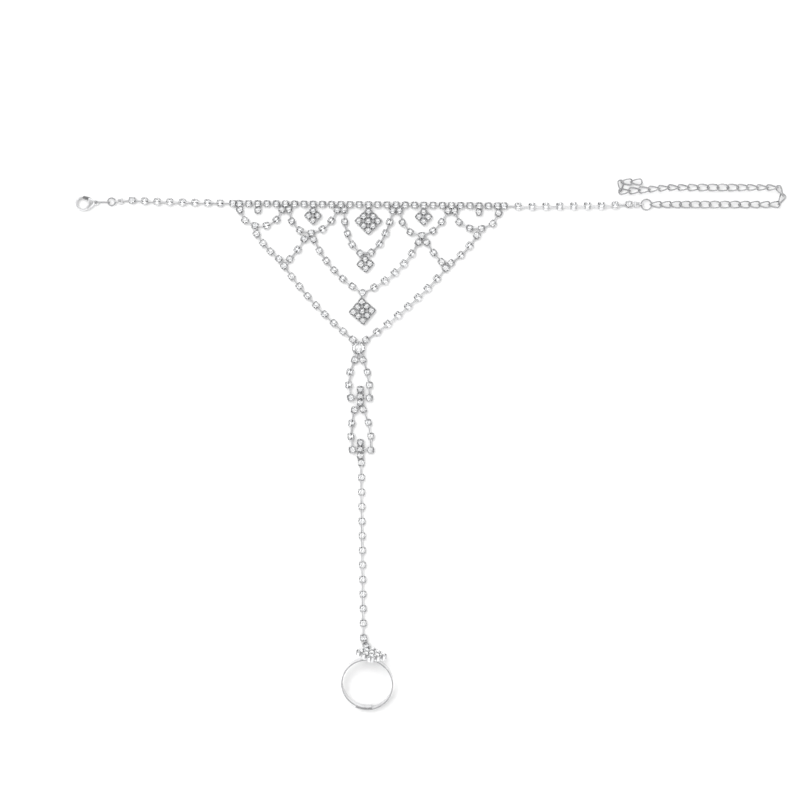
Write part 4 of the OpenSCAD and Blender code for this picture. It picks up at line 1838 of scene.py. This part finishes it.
@dataclass
class Clasp:
    """The lobster clasp: hook, neck, tail eye and pin, and the lever on the pin."""

    shop: Shop

    at: tuple[float, float] = (-104.3, 0.35)
    angle: float = 4.0
    thickness: float = 2.0
    hook_r: float = 2.77
    hook_w: float = 0.8
    hook_start: float = 91.0
    hook_sweep: float = 245.0
    hook_sides: tuple[int, int] = (44, 16)
    hook_slim: float = 0.98
    pivot: tuple[float, float] = (2.85, 0.95)
    pin_r: float = 0.3
    pin_round: float = 0.06
    pin_short: float = 0.05
    pin_sides: int = 20
    pin_crease: float = 40.0
    lever_t: float = 0.8
    lever_room: float = 0.12
    lever_round: float = 0.12
    cheek_rounds: tuple[float, float] = (0.2, 0.16)
    cheek_drop: float = 0.06
    cheek_dome: float = 0.14
    dome_edge: float = 0.42
    tail_sink: float = 0.1
    tail_round: float = 0.05
    corner: float = 40.0
    crease: float = 50.0
    eye_at: tuple[float, float] = (4.78, 0.05)
    eye_r: float = 0.75
    eye_wire: float = 0.27
    eye_cut: float = 1.0
    eye_sides: tuple[int, int] = (32, 12)

    # Columns: X and Y of a corner, in the clasp's own frame
    cheek_outline: ClassVar[tuple[tuple[float, float], ...]] = (
        (0.9, -2.62),
        (2.1, -2.25),
        (3.2, -1.55),
        (4.1, -0.85),
        (4.4, -0.3),
        (4.4, 0.35),
        (4.1, 0.95),
        (3.4, 1.5),
        (2.5, 1.8),
        (2.05, 1.5),
        (1.95, 0.6),
        (2.0, -0.4),
        (1.75, -1.1),
        (1.1, -1.8),
    )
    tail_outline: ClassVar[tuple[tuple[float, float], ...]] = (
        (1.7, -1.9),
        (3.2, -1.4),
        (4.2, -0.6),
        (4.3, 0.0),
        (4.2, 0.6),
        (3.75, 0.3),
        (2.2, -0.7),
    )
    lever_outline: ClassVar[tuple[tuple[float, float], ...]] = (
        (0.02, 1.8),
        (1.6, 1.2),
        (2.4, 0.5),
        (2.9, 0.34),
        (3.4, 0.6),
        (3.5, 1.2),
        (3.15, 1.75),
        (2.1, 2.25),
        (0.9, 2.74),
        (0.52, 2.8),
        (0.17, 2.35),
    )

    def frame(self) -> Matrix:
        """The clasp's own frame in the layout."""
        return shift((*self.at, 0)) @ turn(self.angle, "Z")

    def build(self) -> None:
        """Builds the clasp's body and its lever."""
        part = Part("clasp_body", self.shop)
        for piece in (self.hook(), *self.cheeks(), self.eye(), self.pin()):
            piece.data.transform(self.frame())
            part.metal.append(piece)
        part.finish()
        lever = self.lever()
        lever.data.transform(self.frame())
        # The lever's dark colour is painted shade, not a different metal
        lever.data.materials.append(self.shop.finishes.lever)
        dress(lever, "clasp_lever", LEVER_BODY)

    def hook(self) -> bpy.types.Object:
        """Spins the hook from its nose round to the neck.

        Returns:
            The hook.
        """
        half = self.hook_w / 2
        section = (half, self.thickness / 2 * self.hook_slim)
        hook = wire_arc(
            "clasp_hook",
            self.hook_r - half,
            section,
            self.hook_start,
            self.hook_sweep,
            self.hook_sides,
        )
        hook.data.transform(shift((0, 0, self.thickness / 2)))
        return hook

    def plate(
        self,
        name: str,
        outline: Sequence[tuple[float, float]],
        low: float,
        high: float,
        soften: float,
        dome: float = 0.0,
    ) -> bpy.types.Object:
        """Models a plate from a short outline, rounded on all its edges.

        Args:
            name: Name of the piece.
            outline: Its corners, in order.
            low: Height of its lower face.
            high: Height of its upper face.
            soften: Radius of its edges.
            dome: How far the middle of its upper face is raised.

        Returns:
            The plate.
        """
        piece = started(
            name,
            bpy.ops.mesh.primitive_circle_add,
            vertices=len(outline),
            radius=1.0,
            fill_type="NGON",
        )
        spots = [vert.co.copy() for vert in piece.data.vertices]
        edit(piece, "VERT")
        for number, (x, y) in enumerate(outline):
            pick(piece, lambda vert: vert.index == number, "VERT")
            bpy.ops.transform.translate(value=Vector((x, y, low)) - spots[number])
        edit_all(piece)
        bpy.ops.mesh.extrude_region_move(TRANSFORM_OT_translate={"value": (0, 0, high - low)})
        if dome:
            bpy.ops.mesh.inset(thickness=self.dome_edge)
            bpy.ops.transform.translate(value=(0, 0, dome))
        deselect()
        outward(piece)
        rounding = piece.modifiers.new("rounding", "BEVEL")
        rounding.width = soften
        rounding.segments = 3
        rounding.limit_method = "ANGLE"
        rounding.angle_limit = math.radians(self.corner)
        apply_modifiers(piece)
        smooth(piece, self.crease)
        return piece

    def cheeks(self) -> list[bpy.types.Object]:
        """Models the neck as two cheeks with room for the lever, and the tail between them.

        Returns:
            The low cheek, the high cheek and the tail.
        """
        room = self.lever_t / 2 + self.lever_room
        middle = self.thickness / 2
        floor, ceiling = middle - room, middle + room
        top = self.thickness - self.cheek_drop
        round_low, round_high = self.cheek_rounds
        sink = self.tail_sink
        return [
            self.plate("clasp_cheek_low", self.cheek_outline, 0.0, floor, round_low),
            self.plate(
                "clasp_cheek_high", self.cheek_outline, ceiling, top, round_high, self.cheek_dome
            ),
            self.plate(
                "clasp_tail", self.tail_outline, floor - sink, ceiling + sink, self.tail_round
            ),
        ]

    def eye(self) -> bpy.types.Object:
        """Models the eye at the tail.

        Returns:
            The eye.
        """
        wire, sweep = (self.eye_wire, self.eye_wire), 360.0 - self.eye_cut
        eye = wire_arc("clasp_eye", self.eye_r, wire, 180.0, sweep, self.eye_sides)
        eye.data.transform(shift((*self.eye_at, self.thickness / 2)))
        return eye

    def pin(self) -> bpy.types.Object:
        """Models the pin that the lever turns on.

        Returns:
            The pin.
        """
        pin = started(
            "clasp_pin",
            bpy.ops.mesh.primitive_cylinder_add,
            vertices=self.pin_sides,
            radius=self.pin_r,
            depth=self.thickness - self.pin_short,
            location=(*self.pivot, self.thickness / 2),
        )
        edit(pin)
        pick(pin, lambda face: abs(face.normal.z) > SQUARE_ON)
        bpy.ops.mesh.bevel(offset=self.pin_round, segments=2, affect="EDGES")
        deselect()
        smooth(pin, self.pin_crease)
        return pin

    def lever(self) -> bpy.types.Object:
        """Models the lever from its nose to its thumb piece.

        Returns:
            The lever.
        """
        middle, half = self.thickness / 2, self.lever_t / 2
        return self.plate(
            "clasp_lever_silver",
            self.lever_outline,
            middle - half,
            middle + half,
            self.lever_round,
        )


@dataclass
class ClaspLink:
    """The small upright link between the clasp's eye and its jump ring."""

    shop: Shop

    at: tuple[float, float, float] = (-97.0, 0.8, 1.13)
    reach: float = 1.52
    radius: float = 0.9
    wire: float = 0.22
    sides: tuple[int, int] = (28, 10)

    def build(self) -> None:
        """Builds the link."""
        part = Part("clasp_link", self.shop, plate=self.shop.finishes.chain)
        link = drawn_ring("clasp_link_wire", self.radius, self.wire, self.reach, self.sides)
        smooth(link, DRAWN_CREASE)
        link.data.transform(shift(self.at) @ turn(90, "X"))
        part.metal.append(link)
        part.finish()


# Studio


@dataclass
class Studio:
    """The pale floor, the soft light and the camera straight above."""

    view_width: float = 292.0 * MM
    view_middle: tuple[float, float] = (-11.1 * MM, 16.1 * MM)
    view_height: float = 1.5 * MM
    lens: float = 100.0
    sensor: float = 36.0
    clip: tuple[float, float] = (0.01, 50.0)
    floor_size: float = 8.0
    key_power: float = 10.0
    key_size: float = 0.9
    key_place: tuple[float, float, float] = (-0.42, 0.42, 1.0)
    sky_strength: float = 1.7
    # Columns: height as the sine of its angle, grey. Straight up is the dark camera
    heights: tuple[tuple[float, float], ...] = (
        (0.0, 0.5),
        (0.12, 0.42),
        (0.3, 0.6),
        (0.48, 0.9),
        (0.62, 1.0),
        (0.74, 0.8),
        (0.82, 1.0),
        (0.87, 0.9),
        (0.915, 0.55),
        (1.0, 0.44),
    )
    # Columns: share of a turn, grey
    panels: tuple[tuple[float, float], ...] = (
        (0.0, 0.85),
        (0.08, 1.0),
        (0.2, 1.0),
        (0.27, 0.6),
        (0.36, 1.0),
        (0.52, 1.0),
        (0.6, 0.55),
        (0.68, 1.0),
        (0.84, 1.0),
        (0.92, 0.55),
        (1.0, 0.85),
    )

    def build(self) -> None:
        """Sets up the whole studio."""
        self.floor()
        self.key_light()
        self.sky()
        self.camera()
        bpy.context.scene.view_settings.view_transform = "Standard"

    def floor(self) -> None:
        """Adds the surface that the jewel lies on."""
        floor = started("floor", bpy.ops.mesh.primitive_plane_add, size=self.floor_size)
        floor.data.materials.append(WhitePaper().make())

    def key_light(self) -> None:
        """Adds the soft light from the upper left; the metal and stones mirror only the room."""
        light = bpy.data.lights.new("key", "AREA")
        light.energy = self.key_power
        light.size = self.key_size
        lamp = bpy.data.objects.new("key", light)
        lamp.location = self.key_place
        lamp.rotation_euler = (-Vector(self.key_place)).to_track_quat("-Z", "Y").to_euler()
        lamp.visible_glossy = False
        lamp.visible_transmission = False
        bpy.context.scene.collection.objects.link(lamp)

    def sky(self) -> None:
        """Adds the light room, with darker panels low down for the silver to show."""
        world = bpy.data.worlds.new("light_room")
        world.use_nodes = True
        nodes, links = world.node_tree.nodes, world.node_tree.links
        background = nodes["Background"]
        background.inputs["Strength"].default_value = self.sky_strength
        way = nodes.new("ShaderNodeTexCoord")
        split = nodes.new("ShaderNodeSeparateXYZ")
        links.new(way.outputs["Generated"], split.inputs["Vector"])
        by_height = self.bands(nodes, links, split.outputs["Z"], self.heights)
        around = nodes.new("ShaderNodeTexGradient")
        around.gradient_type = "RADIAL"
        links.new(way.outputs["Generated"], around.inputs["Vector"])
        by_side = self.bands(nodes, links, around.outputs["Fac"], self.panels)
        both = nodes.new("ShaderNodeMix")
        both.data_type = "RGBA"
        both.blend_type = "MULTIPLY"
        both.inputs["Factor"].default_value = 1.0
        first, second = [socket for socket in both.inputs if socket.type == "RGBA"]
        links.new(by_height, first)
        links.new(by_side, second)
        mixed = next(socket for socket in both.outputs if socket.type == "RGBA")
        links.new(mixed, background.inputs["Color"])
        bpy.context.scene.world = world

    def bands(
        self,
        nodes: bpy.types.Nodes,
        links: bpy.types.NodeLinks,
        value: bpy.types.NodeSocket,
        steps: Sequence[tuple[float, float]],
    ) -> bpy.types.NodeSocket:
        """Adds grey bands to the room.

        Args:
            nodes: The world's nodes.
            links: The world's links.
            value: The output that the bands follow.
            steps: Each band's place and its grey.

        Returns:
            The output with the bands.
        """
        node = nodes.new("ShaderNodeValToRGB")
        elements = node.color_ramp.elements
        for element, (position, grey) in zip(elements, (steps[0], steps[-1])):
            element.position, element.color = position, (grey, grey, grey, 1)
        for position, grey in steps[1:-1]:
            elements.new(position).color = (grey, grey, grey, 1)
        links.new(value, node.inputs["Fac"])
        return node.outputs["Color"]

    def camera(self) -> None:
        """Adds the camera, looking straight down."""
        data = bpy.data.cameras.new("camera")
        data.lens = self.lens
        data.sensor_width = self.sensor
        camera = bpy.data.objects.new("camera", data)
        distance = self.view_width / 2 / (self.sensor / 2 / self.lens)
        camera.location = (*self.view_middle, distance + self.view_height)
        data.clip_start, data.clip_end = self.clip
        bpy.context.scene.collection.objects.link(camera)
        bpy.context.scene.camera = camera


def main() -> None:
    """Builds the jewel's looks and the studio."""
    logging.basicConfig(level=logging.INFO, format="%(message)s")
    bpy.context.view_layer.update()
    Studio().build()
    shop = Shop()
    jewel = Jewel(shop)
    jewel.build()
    ToeRing(shop).build()
    first, last = jewel.rows["left"][0], jewel.rows["right"][-1]
    EndCap("left_connector", middle=(-90.6, 1.15, 1.05), last_cup=first, shop=shop).build()
    EndCap("right_connector", middle=(98.0, 0.0, 1.05), last_cup=last, shop=shop).build()
    JumpRing("clasp_ring", (-93.8, 0.98, 1.05), radius=1.4, cut_at=100.0, shop=shop).build()
    JumpRing("extender_ring", (101.5, -0.1, 1.15), radius=1.93, cut_at=-70.0, shop=shop).build()
    Extender(shop).build()
    Clasp(shop).build()
    ClaspLink(shop).build()
    shop.clear_away()
    LOG.info("pieces finished")


if __name__ == "__main__":
    main()
